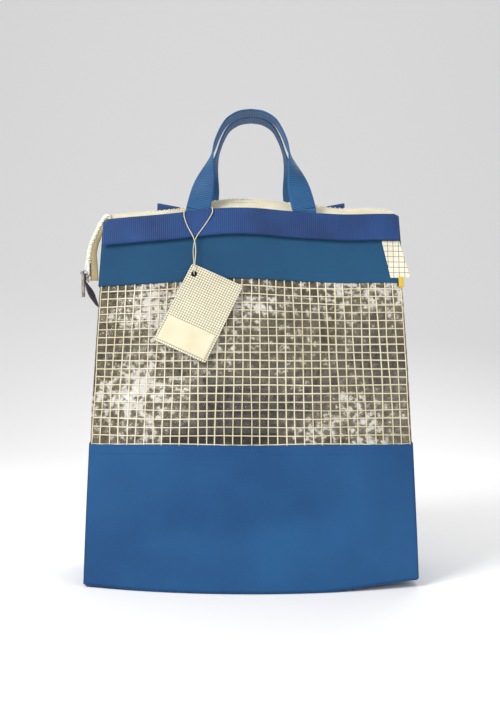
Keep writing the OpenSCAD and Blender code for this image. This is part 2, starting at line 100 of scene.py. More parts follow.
def arch(x, z):
    """The top edge's gentle arch, fading out down the wall, and the base's lifted right corner."""
    a = np.interp(x, ARCH_X, ARCH_Z) * 0.5 + np.interp(np.asarray(x) - 9, ARCH_X, ARCH_Z) * 0.25 \
        + np.interp(np.asarray(x) + 9, ARCH_X, ARCH_Z) * 0.25
    up = a * smooth((np.asarray(z) - 190) / 160.0)
    lift = 6.0 * smooth((np.asarray(x) - 60) / 95.0) + 1.0 * smooth((-np.asarray(x) - 90) / 60.0)
    return up + lift * (1 - smooth(np.asarray(z) / 90.0))


def waves(x, z, seed, amp, size):
    """A fixed sum of long ripples, used for the slack of cloth and film."""
    g = np.random.default_rng(seed)
    out = np.zeros(np.broadcast(x, z).shape)
    for _ in range(9):
        a = g.uniform(0, math.pi)
        f = 2 * math.pi / (size * g.uniform(0.6, 1.7))
        out += g.uniform(0.4, 1) * np.sin(f * (np.cos(a) * x + np.sin(a) * z) + g.uniform(0, 6.28))
    return amp * out / 3


def crinkle(x, z, seed, amp, size):
    """Sharp creases as in stiff clear film: ridged waves."""
    g = np.random.default_rng(seed)
    out = np.zeros(np.broadcast(x, z).shape)
    for _ in range(7):
        a = g.uniform(0, math.pi)
        f = math.pi / (size * g.uniform(0.5, 1.6))
        bend = 1.5 * np.sin(0.013 * x + 0.017 * z * g.uniform(0.5, 2))
        w = np.sin(f * (np.cos(a) * x + np.sin(a) * z) + bend + g.uniform(0, 6.28))
        out += (1 - np.abs(w)) * g.uniform(0.4, 1)
    return amp * (out / 3 - 0.6)


def front_slack(x, z):
    pin = smooth((half_w(z) - np.abs(x)) / 25.0)
    win = smooth((z - LOWER) / 16.0) * smooth((SPLIT_F - z) / 16.0)
    low = smooth(z / 20.0) * smooth((LOWER - z) / 20.0)
    band = smooth((z - SPLIT_F) / 12.0) * smooth((H - 8 - z) / 20.0)
    s = waves(x, z, 3, 1.1, 95) * low + waves(x, z, 4, 0.5, 60) * band
    s = s + (waves(x, z, 5, 1.3, 80) + crinkle(x, z, 6, 1.5, 36)) * win
    # the shallow hollow where the cloth turns under at the front
    s = s - 5.0 * low * np.exp(-((z - 55 - 0.10 * x) / 17.0) ** 2) * np.exp(-((x - 45) / 55.0) ** 2)
    s = s - 3.4 * low * np.exp(-((z - 42 + 0.13 * x) / 13.0) ** 2) * np.exp(-((x + 70) / 60.0) ** 2)
    return s * pin


def back_slack(x, z):
    pin = smooth((half_w(z) - np.abs(x)) / 25.0)
    win = smooth((z - LOWER) / 16.0) * smooth((SPLIT_B - z) / 16.0)
    low = smooth(z / 20.0) * smooth((LOWER - z) / 20.0)
    film_slack = waves(x, z, 15, 1.2, 80) + crinkle(x, z, 16, 1.2, 40)
    return pin * (waves(x, z, 13, 1.0, 90) * low + film_slack * win)


def front_pt(x, z, out=0.0):
    """A point on the front wall's outside; out moves it off the wall."""
    return np.stack([x + 0 * z, front_y(x, z) - front_slack(x, z) - out, z + arch(x, z)], -1)


def back_pt(x, z, out=0.0):
    return np.stack([x + 0 * z, back_y(x, z) + back_slack(x, z) + out, z + arch(x, z)], -1)


def side_pt(s, v, z, out=0.0):
    h = half_w(z)
    near, far = front_y(h, z) + 0.6, back_y(h, z) - 0.6
    win = smooth((z - LOWER) / 16.0) * smooth((SPLIT_F - z) / 16.0) * 4 * v * (1 - v)
    soft = waves(v * SIDE_D, z, 23 + s, 1.0, 70) + crinkle(v * SIDE_D, z, 27 + s, 1.0, 34) * win
    soft = soft * smooth(4 * v * (1 - v))
    y = near + (far - near) * v
    x = s * (side_x(v, z) + soft * 0.8 + out)
    return np.stack([x, y + 0 * x, z + arch(s * half_w(z), z)], -1)


# ---------------------------------------------------------------- mesh building
def finish_mesh(name, verts, faces, mat, uvs):
    me = bpy.data.meshes.new(name)
    me.from_pydata([tuple(p) for p in (np.asarray(verts) * 0.001).tolist()], [], faces)
    layer = me.uv_layers.new(name="mm")
    loops = np.zeros(len(me.loops), dtype=np.int32)
    me.loops.foreach_get("vertex_index", loops)
    layer.data.foreach_set("uv", np.asarray(uvs, dtype=np.float32)[loops].ravel())
    me.polygons.foreach_set("use_smooth", [True] * len(me.polygons))
    me.materials.append(mat)
    me.validate()
    me.update()
    ob = bpy.data.objects.new(name, me)
    col.objects.link(ob)
    return ob


def normals_of(P):
    du = np.gradient(P, axis=1)
    dv = np.gradient(P, axis=0)
    n = np.cross(du, dv)
    return n / np.maximum(np.linalg.norm(n, axis=-1, keepdims=True), 1e-9)


def slab_data(P, t, uv, flip=False):
    """A closed sheet of thickness t behind the grid P, with softly rounded rims."""
    R, C = P.shape[:2]
    N = normals_of(P) * (-1 if flip else 1)
    Q = P - N * t
    faces = []
    idx = lambda i, j: i * C + j
    n = R * C
    i, j = np.meshgrid(np.arange(R - 1), np.arange(C - 1), indexing="ij")
    a, b, c, d = idx(i, j), idx(i, j + 1), idx(i + 1, j + 1), idx(i + 1, j)
    q = np.stack([a, b, c, d], -1).reshape(-1, 4)
    if flip:
        q = q[:, ::-1]
    faces = q.tolist() + (q[:, ::-1] + n).tolist()
    # rims: a middle row pushed outwards makes them round
    edge = [idx(0, k) for k in range(C)] + [idx(k, C - 1) for k in range(1, R)] \
        + [idx(R - 1, k) for k in range(C - 2, -1, -1)] + [idx(k, 0) for k in range(R - 2, 0, -1)]
    Pf, Qf, U = P.reshape(-1, 3), Q.reshape(-1, 3), uv.reshape(-1, 2)
    m = len(edge)
    E = Pf[edge]
    tangent = np.roll(E, -1, 0) - np.roll(E, 1, 0)
    tangent /= np.maximum(np.linalg.norm(tangent, axis=1, keepdims=True), 1e-9)
    outward = np.cross(tangent, N.reshape(-1, 3)[edge])
    mid = (E + Qf[edge]) / 2 + outward * t * 0.45 * (-1 if flip else 1)
    V = np.concatenate([Pf, Qf, mid])
    UV = np.concatenate([U, U, U[edge]])
    for k in range(m):
        k2 = (k + 1) % m
        e, e2, w, w2 = edge[k], edge[k2], 2 * n + k, 2 * n + k2
        f1, f2 = [e2, e, w, w2], [w2, w, e + n, e2 + n]
        if flip:
            f1, f2 = f1[::-1], f2[::-1]
        faces += [f1, f2]
    return V, faces, UV


def slab(name, P, t, uv, mat, flip=False):
    V, F, UV = slab_data(P, t, uv, flip)
    return finish_mesh(name, V, F, mat, UV)


def merge(name, parts, mat):
    V, F, U, base = [], [], [], 0
    for v, f, u in parts:
        V.append(v)
        U.append(u if u is not None else np.zeros((len(v), 2)))
        F += [[i + base for i in q] for q in f]
        base += len(v)
    return finish_mesh(name, np.concatenate(V), F, mat, np.concatenate(U))


def travelled(path):
    """Distance along a path at each of its points."""
    return np.concatenate([[0], np.cumsum(np.linalg.norm(np.diff(path, axis=0), axis=1))])


def tube_data(path, normal, w, t, sides=6):
    """A tube with an elliptical section, w across and t deep, along path."""
    path = np.asarray(path, float)
    d = np.gradient(path, axis=0)
    d /= np.maximum(np.linalg.norm(d, axis=1, keepdims=True), 1e-9)
    nrm = np.broadcast_to(np.asarray(normal, float), path.shape)
    s = np.cross(d, nrm)
    s /= np.maximum(np.linalg.norm(s, axis=1, keepdims=True), 1e-9)
    nn = np.cross(s, d)
    th = np.linspace(0, 2 * math.pi, sides, endpoint=False)
    cs, sn = np.cos(th)[None, :, None], np.sin(th)[None, :, None]
    ring = path[:, None] + (cs * s[:, None] * w + sn * nn[:, None] * t) / 2
    n = len(path)
    i, k = np.meshgrid(np.arange(n - 1), np.arange(sides), indexing="ij")
    k2 = (k + 1) % sides
    a, b = i * sides, (i + 1) * sides
    F = np.stack([a + k, a + k2, b + k2, b + k], -1).reshape(-1, 4).tolist()
    F += [list(range(sides))[::-1], [(n - 1) * sides + k for k in range(sides)]]
    length = travelled(path)
    U = np.stack([np.repeat(length, sides), np.tile(th * w / 6.28, n)], -1)
    return ring.reshape(-1, 3), F, U


def spline(p, steps):
    p = np.asarray(p, float)
    out = []
    for i in range(len(p) - 1):
        a, b, c, d = p[max(i - 1, 0)], p[i], p[i + 1], p[min(i + 2, len(p) - 1)]
        for k in range(steps):
            t = k / steps
            square, cube = 2 * a - 5 * b + 4 * c - d, 3 * b - a - 3 * c + d
            out.append(0.5 * (2 * b + (c - a) * t + square * t * t + cube * t ** 3))
    out.append(p[-1])
    return np.array(out)


def resample(p, step):
    s = travelled(p)
    n = max(2, int(round(s[-1] / step)) + 1)
    t = np.linspace(0, s[-1], n)
    return np.stack([np.interp(t, s, p[:, k]) for k in range(p.shape[1])], -1), t


# ---------------------------------------------------------------- materials
class Mat:
    def __init__(self, name, color, rough=0.7, spec=0.3, sheen=0.0, alpha=1.0, coat=0.0, metal=0.0):
        self.m = bpy.data.materials.new(name)
        self.m.use_nodes = True
        self.nt = self.m.node_tree
        self.b = self.nt.nodes["Principled BSDF"]
        self.b.inputs["Base Color"].default_value = (*color, 1)
        self.b.inputs["Roughness"].default_value = rough
        self.b.inputs["Specular IOR Level"].default_value = spec
        self.b.inputs["Sheen Weight"].default_value = sheen
        self.b.inputs["Sheen Roughness"].default_value = 0.45
        self.b.inputs["Coat Weight"].default_value = coat
        self.b.inputs["Coat Roughness"].default_value = 0.08
        self.b.inputs["Metallic"].default_value = metal
        self.b.inputs["Alpha"].default_value = alpha

    def node(self, kind, **sets):
        n = self.nt.nodes.new(kind)
        for k, v in sets.items():
            setattr(n, k, v)
        return n

    def link(self, a, b):
        self.nt.links.new(a, b)

    def math(self, op, a, b=None, clamp=False):
        n = self.node("ShaderNodeMath", operation=op, use_clamp=clamp)
        for i, v in enumerate((a, b)):
            if v is None:
                continue
            if isinstance(v, (int, float)):
                n.inputs[i].default_value = v
            else:
                self.link(v, n.inputs[i])
        return n.outputs[0]

    def uv(self):
        n = self.node("ShaderNodeUVMap", uv_map="mm")
        s = self.node("ShaderNodeSeparateXYZ")
        self.link(n.outputs[0], s.inputs[0])
        return s.outputs[0], s.outputs[1]

    def noise(self, scale, detail=3.0, rough=0.55, distortion=0.0):
        t = self.node("ShaderNodeTexCoord")
        n = self.node("ShaderNodeTexNoise")
        n.inputs["Scale"].default_value = scale
        n.inputs["Detail"].default_value = detail
        n.inputs["Roughness"].default_value = rough
        n.inputs["Distortion"].default_value = distortion
        self.link(t.outputs["Object"], n.inputs["Vector"])
        return n.outputs[0]

    def ramp(self, fac, stops):
        n = self.node("ShaderNodeValToRGB")
        while len(n.color_ramp.elements) < len(stops):
            n.color_ramp.elements.new(0.5)
        for e, (p, c) in zip(n.color_ramp.elements, stops):
            e.position = p
            e.color = (*c, 1)
        self.link(fac, n.inputs[0])
        return n.outputs[0]

    def mix(self, fac, a, b, mode="MIX"):
        n = self.node("ShaderNodeMix", data_type="RGBA", blend_type=mode)
        if isinstance(fac, (int, float)):
            n.inputs[0].default_value = fac
        else:
            self.link(fac, n.inputs[0])
        for i, v in ((6, a), (7, b)):
            if isinstance(v, tuple):
                n.inputs[i].default_value = (*v, 1)
            else:
                self.link(v, n.inputs[i])
        return n.outputs[2]

    def color(self, c):
        self.link(c, self.b.inputs["Base Color"])

    def rough(self, v, lo, hi):
        n = self.node("ShaderNodeMapRange")
        n.inputs["To Min"].default_value = lo
        n.inputs["To Max"].default_value = hi
        self.link(v, n.inputs["Value"])
        self.link(n.outputs[0], self.b.inputs["Roughness"])

    def bump(self, h, strength, dist):
        n = self.node("ShaderNodeBump")
        n.inputs["Strength"].default_value = strength
        n.inputs["Distance"].default_value = dist
        self.link(h, n.inputs["Height"])
        self.link(n.outputs[0], self.b.inputs["Normal"])

    def plain_weave(self, pitch):
        u, v = self.uv()
        a, b = self.math("DIVIDE", u, pitch), self.math("DIVIDE", v, pitch)
        c = self.math("PINGPONG", self.math("ADD", self.math("FLOOR", a), self.math("FLOOR", b)), 1.0)
        sa = self.math("ABSOLUTE", self.math("SINE", self.math("MULTIPLY", a, math.pi)))
        sb = self.math("ABSOLUTE", self.math("SINE", self.math("MULTIPLY", b, math.pi)))
        inv = self.math("SUBTRACT", 1.0, c)
        return self.math("ADD", self.math("MULTIPLY", c, sa), self.math("MULTIPLY", inv, sb))


def lin(r, g, b):
    f = lambda c: c / 12.92 if c <= 0.04045 else ((c + 0.055) / 1.055) ** 2.4
    return (f(r / 255), f(g / 255), f(b / 255))


def fabric(name, light, dark, worn, pitch=0.7, sheen=0.08):
    m = Mat(name, light, rough=0.82, spec=0.22, sheen=sheen)
    w = m.plain_weave(pitch)
    cloud = m.noise(9.0, 3.0)
    speck = m.noise(1300.0, 2.0)
    base = m.ramp(cloud, [(0.30, dark), (0.70, light)])
    base = m.mix(m.math("MULTIPLY", m.math("SUBTRACT", speck, 0.42), 0.9, clamp=True), base, worn)
    shade = m.ramp(w, [(0.0, (0.62, 0.62, 0.66)), (0.55, (1.0, 1.0, 1.0))])
    m.color(m.mix(0.75, base, shade, "MULTIPLY"))
    m.rough(speck, 0.72, 0.92)
    m.bump(m.math("ADD", w, m.math("MULTIPLY", speck, 0.5)), 0.35, 0.0003)
    return m.m


def ribbed(name, light, dark, rib, sheen=0.08):
    """Webbing whose ribs cross its length; the geometry carries the ribs and this adds the yarns, with
    painted shade in the rib grooves and painted highlight on the crests.
    """
    m = Mat(name, light, rough=0.6, spec=0.35, sheen=sheen)
    u, v = m.uv()
    r = m.math("ABSOLUTE", m.math("SINE", m.math("MULTIPLY", u, math.pi / rib)))
    y = m.math("ABSOLUTE", m.math("SINE", m.math("MULTIPLY", v, math.pi / 0.55)))
    speck = m.noise(900.0, 2.0)
    cloud = m.noise(22.0, 3.0)
    base = m.ramp(cloud, [(0.32, dark), (0.68, light)])
    # painted shade darkens the grooves between the ribs and a painted highlight brightens their crests
    painted_rib_shade = m.ramp(r, [(0.0, (0.16, 0.18, 0.24)), (0.30, (0.55, 0.58, 0.64)), (0.75, (1.25, 1.25, 1.2))])
    base = m.mix(0.95, base, painted_rib_shade, "MULTIPLY")
    yarn = m.ramp(y, [(0.0, (0.72, 0.72, 0.76)), (0.6, (1, 1, 1))])
    m.color(m.mix(0.7, base, yarn, "MULTIPLY"))
    m.rough(speck, 0.45, 0.75)
    m.bump(m.math("ADD", m.math("MULTIPLY", y, 0.6), m.math("MULTIPLY", speck, 0.4)), 0.4, 0.0002)
    return m.m


def twill(name, light, dark, sheen=0.2):
    """Herringbone zip tape."""
    m = Mat(name, light, rough=0.8, spec=0.2, sheen=sheen)
    u, v = m.uv()
    zig = m.math("PINGPONG", v, 2.4)
    t = m.math("ABSOLUTE", m.math("SINE", m.math("MULTIPLY", m.math("ADD", u, zig), math.pi / 0.9)))
    cloud = m.noise(30.0, 4.0)
    base = m.ramp(cloud, [(0.3, dark), (0.7, light)])
    m.color(m.mix(0.6, base, m.ramp(t, [(0.0, (0.66, 0.62, 0.54)), (0.5, (1, 1, 1))]), "MULTIPLY"))
    m.rough(m.noise(700.0), 0.7, 0.9)
    m.bump(t, 0.4, 0.0002)
    return m.m


def plastic(name, light, dark, rough=(0.3, 0.5), spec=0.5, coat=0.0, scale=60.0):
    m = Mat(name, light, rough=rough[0], spec=spec, coat=coat)
    cloud = m.noise(scale, 4.0)
    m.color(m.ramp(cloud, [(0.3, dark), (0.72, light)]))
    m.rough(m.noise(scale * 6, 3.0), *rough)
    m.bump(m.noise(scale * 14, 2.0), 0.12, 0.0001)
    return m.m


def film(name, tint, alpha):
    m = Mat(name, tint, rough=0.12, spec=0.6, alpha=alpha, coat=0.35)
    c = m.noise(26.0, 4.0, 0.6, 0.6)
    big, cell = m.noise(8.5, 2.0, 0.5, 0.5), m.noise(170.0, 3.0, 0.6)
    # painted glare: large patches of painted highlight, near white at the top of the ramp, broken up cell by
    # cell
    painted_glare_patches = m.math("MULTIPLY", m.math("SUBTRACT", big, 0.5), 2.6)
    g = m.math("ADD", painted_glare_patches, m.math("MULTIPLY", m.math("SUBTRACT", cell, 0.5), 1.9))
    g = m.math("ADD", g, 0.40, clamp=True)
    # the colour runs from a dark tint through the tint to near-white painted highlight
    m.color(m.ramp(g, [(0.0, tuple(0.22 * x for x in tint)), (0.38, tuple(0.8 * x for x in tint)),
                       (0.60, tuple(1.5 * x for x in tint)), (0.82, (0.86, 0.84, 0.78))]))
    m.rough(m.noise(60.0, 3.0), 0.05, 0.24)
    fine = m.noise(150.0, 5.0, 0.62, 1.2)
    m.bump(m.math("ADD", m.math("MULTIPLY", c, 2.0), m.math("MULTIPLY", fine, 0.6)), 0.55, 0.0022)
    return m.m


def yarn_mat(name, light, dark):
    m = Mat(name, light, rough=0.45, spec=0.5, coat=0.2)
    u, v = m.uv()
    twist = m.math("ADD", u, m.math("MULTIPLY", v, 1.6))
    ply = m.math("ABSOLUTE", m.math("SINE", m.math("MULTIPLY", twist, math.pi / 1.1)))
    cloud = m.noise(18.0, 3.0)
    base = m.ramp(cloud, [(0.3, dark), (0.7, light)])
    m.color(m.mix(0.5, base, m.ramp(ply, [(0.0, (0.68, 0.64, 0.56)), (0.6, (1, 1, 1))]), "MULTIPLY"))
    m.bump(ply, 0.3, 0.0002)
    return m.m


def leather(name, light, dark, edge):
    m = Mat(name, light, rough=0.45, spec=0.4, coat=0.1)
    t = m.node("ShaderNodeTexCoord")
    v = m.node("ShaderNodeTexVoronoi")
    v.inputs["Scale"].default_value = 900.0
    m.link(t.outputs["Object"], v.inputs["Vector"])
    cloud = m.noise(120.0, 4.0)
    base = m.ramp(cloud, [(0.3, dark), (0.7, light)])
    m.color(m.mix(m.math("MULTIPLY", v.outputs["Distance"], 0.6), base, edge))
    m.rough(cloud, 0.32, 0.6)
    m.bump(v.outputs["Distance"], 0.4, 0.0002)
    return m.m


def steel(name, light, dark):
    m = Mat(name, light, rough=0.3, spec=0.5, metal=0.85)
    streak = m.noise(260.0, 4.0, 0.6, 0.4)
    m.color(m.ramp(streak, [(0.3, dark), (0.7, light)]))
    m.rough(streak, 0.22, 0.5)
    m.bump(streak, 0.15, 0.0001)
    return m.m


def printed_grid(name, paper, ink, pitch, line):
    """Card or woven label with a fine printed grid."""
    m = Mat(name, paper, rough=0.62, spec=0.3)
    u, v = m.uv()
    fu = m.math("PINGPONG", m.math("DIVIDE", u, pitch), 0.5)
    fv = m.math("PINGPONG", m.math("DIVIDE", v, pitch), 0.5)
    near = m.math("MINIMUM", fu, fv)
    inked = m.math("LESS_THAN", near, line / pitch / 2)
    grain = m.noise(420.0, 4.0)
    cloud = m.noise(24.0, 3.0)
    base = m.ramp(cloud, [(0.3, tuple(0.84 * x for x in paper)), (0.7, paper)])
    m.color(m.mix(m.math("MULTIPLY", inked, 0.92), base, ink))
    m.rough(grain, 0.45, 0.8)
    m.bump(grain, 0.12, 0.0001)
    return m.m


lower_mat = fabric("fabric_lower", lin(34, 86, 136), lin(24, 68, 116), lin(58, 108, 146))
band_mat = fabric("fabric_band", lin(30, 80, 116), lin(22, 64, 98), lin(52, 100, 130))
top_mat = ribbed("webbing_top", lin(22, 62, 118), lin(14, 46, 94), 2.0)
strap_mat = ribbed("webbing_strap", lin(34, 94, 142), lin(22, 72, 118), 1.9)
carry_mat = ribbed("webbing_carry", lin(26, 66, 122), lin(16, 50, 98), 1.9)
film_mat = film("vinyl", lin(104, 94, 74), 0.52)
yarn_front = yarn_mat("scrim_yarn", lin(240, 232, 208), lin(206, 194, 160))
# a darker copy of the scrim yarn: painted shade for the grids at the back and sides, inside the bag
yarn_painted_shade = yarn_mat("scrim_yarn_painted_shade", lin(196, 186, 152), lin(160, 148, 112))
tape_mat = twill("zip_tape", lin(226, 220, 196), lin(196, 186, 152))
# a darker copy of the zip tape: painted shade for the tail's front tape
tape_shade = twill("zip_tape_painted_shade", lin(176, 162, 124), lin(140, 124, 88))
tooth_mat = plastic("zip_teeth", lin(240, 238, 222), lin(214, 206, 178), (0.35, 0.55), scale=90)
slider_mat = plastic("slider_enamel", lin(240, 240, 234), lin(214, 212, 204), (0.2, 0.4), coat=0.4)
steel_mat = steel("tab_steel", lin(206, 202, 190), lin(150, 142, 122))
plum_mat = leather("leather_plum", lin(66, 52, 66), lin(34, 26, 34), lin(112, 98, 118))
string_mat = yarn_mat("string_cotton", lin(232, 224, 200), lin(192, 180, 150))
bind_mat = twill("binding", lin(206, 196, 164), lin(172, 158, 120))
thread_mat = plastic("thread_blue", lin(44, 92, 140), lin(28, 66, 110), (0.5, 0.7), spec=0.3)
thread_light = plastic("thread_cream", lin(224, 218, 190), lin(190, 180, 146), (0.5, 0.7), spec=0.3)
eyelet_mat = plastic("eyelet", lin(62, 54, 48), lin(34, 30, 26), (0.35, 0.6))
tag_mat = printed_grid("tag_print", lin(232, 224, 196), lin(40, 38, 32), 2.45, 0.42)
label_mat = printed_grid("label_print", lin(232, 226, 204), lin(70, 72, 70), 5.4, 0.5)

# ---------------------------------------------------------------- the tag's string: built first
STRAP_F = TF - 0.2 - 0.8
STRING_R = 0.5
STR_Y = TF - 0.4 - 1.6 - 1.4 - 0.2 - STRING_R - 0.2
LOOP_Z = H + 1.3
ARM_L, ARM_R = -53 - 12 - 0.95, -53 + 12 + 2.6
LOOP_BACK = STRAP_F + 0.8 + 0.25 + STRING_R
string_pts = [[ARM_L, STR_Y, LOOP_Z - 0.7], [ARM_L, -2.4, LOOP_Z - 6], [-62.5, -4.6, 340], [-56.5, -7.4, 329],
              [-54.2, -9.4, 318], [-54.6, -12.2, 306], [-55.3, -14.6, 297], [-55.5, -14.7, 293.6],
              [-55.5, -12.9, 292.2], [-55.5, -11.1, 293.2], [-55.7, -10.3, 297], [-56.2, -8.6, 306],
              [-56.6, -7.2, 318], [-54, -5.9, 329], [-46, -3.8, 340], [ARM_R, -2.4, LOOP_Z - 6],
              [ARM_R, STR_Y, LOOP_Z - 0.7]]


def curve(name, pts, radius, mat):
    cu = bpy.data.curves.new(name, "CURVE")
    cu.dimensions = "3D"
    cu.bevel_depth = radius * 0.001
    cu.bevel_resolution = 4
    sp = cu.splines.new("POLY")
    sp.points.add(len(pts) - 1)
    for p, q in zip(sp.points, pts):
        p.co = (q[0] * 0.001, q[1] * 0.001, q[2] * 0.001, 1)
    cu.use_fill_caps = True
    cu.materials.append(mat)
    ob = bpy.data.objects.new(name, cu)
    col.objects.link(ob)
    return ob


def over_band(p):
    """The string's upper arms pass in front of the band and follow the top edge's arch."""
    x, y, z = p
    up = float(arch(x, H)) * float(smooth((z - 335) / 14.0)) + 0.7 * float(smooth((z - 345) / 8.0))
    return [x, y - 1.3 * float(smooth((z - 303) / 22.0)), z + up]


path = spline([over_band(p) for p in string_pts], 4)
string = curve("tag_string_cord", path, STRING_R, string_mat)
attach(string, "tag_string")
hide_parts("tag_string")

# ---------------------------------------------------------------- walls
CLOTH_T = 1.1
FILM_T = 0.4
FILM_IN = 0.9    # the film lies this far inside the cloth's outer face


def wall_grid(side, z0, z1, step=2.0, out=0.0):
    fn = front_pt if side == "front" else back_pt
    nz = max(2, int(round((z1 - z0) / step)) + 1)
    zs = np.linspace(z0, z1, nz)
    us = np.linspace(-1, 1, int(300 / step))
    U, Z = np.meshgrid(us, zs)
    X = U * half_w(Z)
    return fn(X, Z, out), np.stack([X, Z], -1)


def side_grid(s, z0, z1, step=2.0, out=0.0):
    nz = max(2, int(round((z1 - z0) / step)) + 1)
    zs = np.linspace(z0, z1, nz)
    vs = np.linspace(0, 1, int(100 / step))
    V, Z = np.meshgrid(vs, zs)
    return side_pt(s, V, Z, out), np.stack([V * SIDE_D, Z], -1)


def settle(ob, body, slot, *nodes):
    """A piece rides a body and stands for its CAD nodes, which are hidden; slot is not used."""
    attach(ob, body)
    if nodes:
        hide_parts(*nodes)
    return ob


def bag_piece(ob, *nodes, slot):
    return settle(ob, "bag", slot, *nodes)


for side in ("front", "back"):
    flip = side == "back"
    split = SPLIT_B if flip else SPLIT_F
    P, U = wall_grid(side, 1.2, LOWER + 2.0)
    ob = slab(f"{side}_lower_cloth", P, CLOTH_T, U, lower_mat, flip)
    bag_piece(ob, f"{side}_lower_panel", slot="fabric_blue")
    # the band is doubled cloth and stands a little proud of the film
    P, U = wall_grid(side, split, H, out=0.5)
    ob = slab(f"{side}_band_cloth", P, 1.5, U, band_mat, flip)
    bag_piece(ob, f"{side}_band", slot="fabric_band")
    P, U = wall_grid(side, LOWER - 6, split + 5, 1.6, out=-FILM_IN)
    ob = slab(f"{side}_film", P, FILM_T, U, film_mat, flip)
    bag_piece(ob, f"{side}_window", slot="vinyl_grid")

for s, side in ((-1, "left"), (1, "right")):
    P, U = side_grid(s, 1.2, LOWER + 2.0)
    ob = slab(f"{side}_lower_gusset", P, CLOTH_T, U, lower_mat, s > 0)
    bag_piece(ob, f"{side}_lower_side", slot="fabric_blue")
    P, U = side_grid(s, SPLIT_F, H - 1, out=0.3)
    ob = slab(f"{side}_band_gusset", P, 1.3, U, band_mat, s > 0)
    bag_piece(ob, f"{side}_band_side", slot="fabric_band")
    P, U = side_grid(s, LOWER - 6, SPLIT_F + 5, 1.6, out=-FILM_IN)
    ob = slab(f"{side}_film", P, FILM_T, U, film_mat, s > 0)
    bag_piece(ob, f"{side}_window_side", slot="vinyl_grid")


def scrim(name, at, columns, lines, heights, across, mat, normal, seed):
    """A woven grid of yarns inside the film. at(u, z, out) gives a point on the wall."""
    g = np.random.default_rng(seed)
    wide = columns > 20
    yarn_w, yarn_t, weave = 1.15, 0.6, 0.28
    z0, z1 = heights
    u0, u1 = across
    parts = []
    zs = np.linspace(z0, z1, int((z1 - z0) / 1.8))
    column_u = (u1 - u0) / columns
    for k in range(columns + 1):
        start = g.uniform(0, 6.28)
        wander = column_u * 0.10 * np.sin(zs / 23 + start) * g.uniform(0.2, 1)
        u = np.clip(u0 + column_u * k + wander, u0, u1)
        over = weave * np.cos(np.pi * (zs - z0) / ((z1 - z0) / lines) + np.pi * k)
        parts.append(tube_data(at(u, zs, over), normal, yarn_w * g.uniform(0.85, 1.15), yarn_t))
    us = np.linspace(u0, u1, int(abs(u1 - u0) * (150 if wide else 62)))
    for k in range(lines + 1):
        z = z0 + (z1 - z0) * (k + 0.15) / (lines + 0.3)
        start = g.uniform(0, 6.28)
        z = np.clip(z + 0.55 * np.sin(us * (7 if wide else 3) + start) * g.uniform(0.2, 1), z0, z1)
        over = -weave * np.cos(np.pi * (us - u0) / column_u + np.pi * k)
        parts.append(tube_data(at(us, z, over), normal, yarn_w * g.uniform(0.85, 1.15), yarn_t))
    return bag_piece(merge(name, parts, mat), slot="vinyl_grid")


YARN_IN = 0.55   # the yarns' middle lies this far inside the cloth's outer face
span_f, span_b = (LOWER + 1.5, SPLIT_F + 2), (LOWER + 1.5, SPLIT_B + 2)
scrim("front_scrim", lambda u, z, o: front_pt(u * (half_w(z) - 1.5), z, o - YARN_IN), 36, 20, span_f,
      (-1, 1), yarn_front, (0, -1, 0), 41)
scrim("back_scrim", lambda u, z, o: back_pt(u * (half_w(z) - 1.5), z, o - YARN_IN), 36, 19, span_b,
      (-1, 1), yarn_painted_shade, (0, 1, 0), 42)
for s, side in ((-1, "left"), (1, "right")):
    scrim(f"{side}_scrim", lambda u, z, o, s=s: side_pt(s, u, z, o - YARN_IN), 12, 20, span_f,
          (0.015, 0.985), yarn_painted_shade, (s, 0, 0), 43 + s)

# base, with its lifted corner
X, V = np.meshgrid(np.linspace(-1, 1, 120) * (BW / 2), np.linspace(0, 1, 60))
Y = front_y(X, 0 * X) + (back_y(X, 0 * X) - front_y(X, 0 * X)) * V
P = np.stack([X, Y, 0.05 + arch(X, 0 * X)], -1)
ob = slab("base_cloth", P, -1.6, np.stack([X, Y], -1), lower_mat)
bag_piece(ob, "base_panel", slot="fabric_blue")


# bound seams inside the corners and round the base
SEAM_W, SEAM_T = 7.5, 0.7


def strip(name, path, across, width, t, mat, *nodes):
    """A flat tape along path, reaching sideways from it."""
    path = np.asarray(path, float)
    shares = np.linspace(0, 1, 6)
    s = travelled(path)
    P = np.stack([path + np.asarray(across) * (width * k) for k in shares], 0)
    U = np.stack([np.stack([s, np.full(len(s), width * k)], -1) for k in shares], 0)
    return bag_piece(slab(name, P, t, U, mat), *nodes, slot="binding_cream")


def band_between(lo, hi, along, flip):
    """A tape between two lines of points."""
    shares = np.linspace(0, 1, 5)
    P = np.stack([lo + (hi - lo) * k for k in shares], 0)
    U = np.stack([np.stack([along, 0 * along + 7 * k], -1) for k in shares], 0)
    return slab_data(P, SEAM_T, U, flip)


for face, fn in (("front", front_pt), ("back", back_pt)):
    for s, side in ((-1, "left"), (1, "right")):
        zs = np.linspace(10, 348, 90)
        strip(f"{face}_{side}_seam_tape", fn(s * (half_w(zs) - 2.2), zs, -2.0), (-s, 0, 0), SEAM_W, SEAM_T,
              bind_mat, f"{face}_{side}_binding")

parts = []
xs, vs = np.linspace(-148, 148, 120), np.linspace(0.03, 0.97, 50)
for fn, flip in ((front_pt, True), (back_pt, False)):
    parts.append(band_between(fn(xs, 0 * xs + 3, -2.2), fn(xs, 0 * xs + 10, -2.2), xs, flip))
for s in (-1, 1):
    lo, hi = side_pt(s, vs, 0 * vs + 3, -2.2), side_pt(s, vs, 0 * vs + 10, -2.2)
    parts.append(band_between(lo, hi, vs * SIDE_D, s > 0))
bag_piece(merge("base_seam_tape", parts, bind_mat), "base_binding", slot="binding_cream")


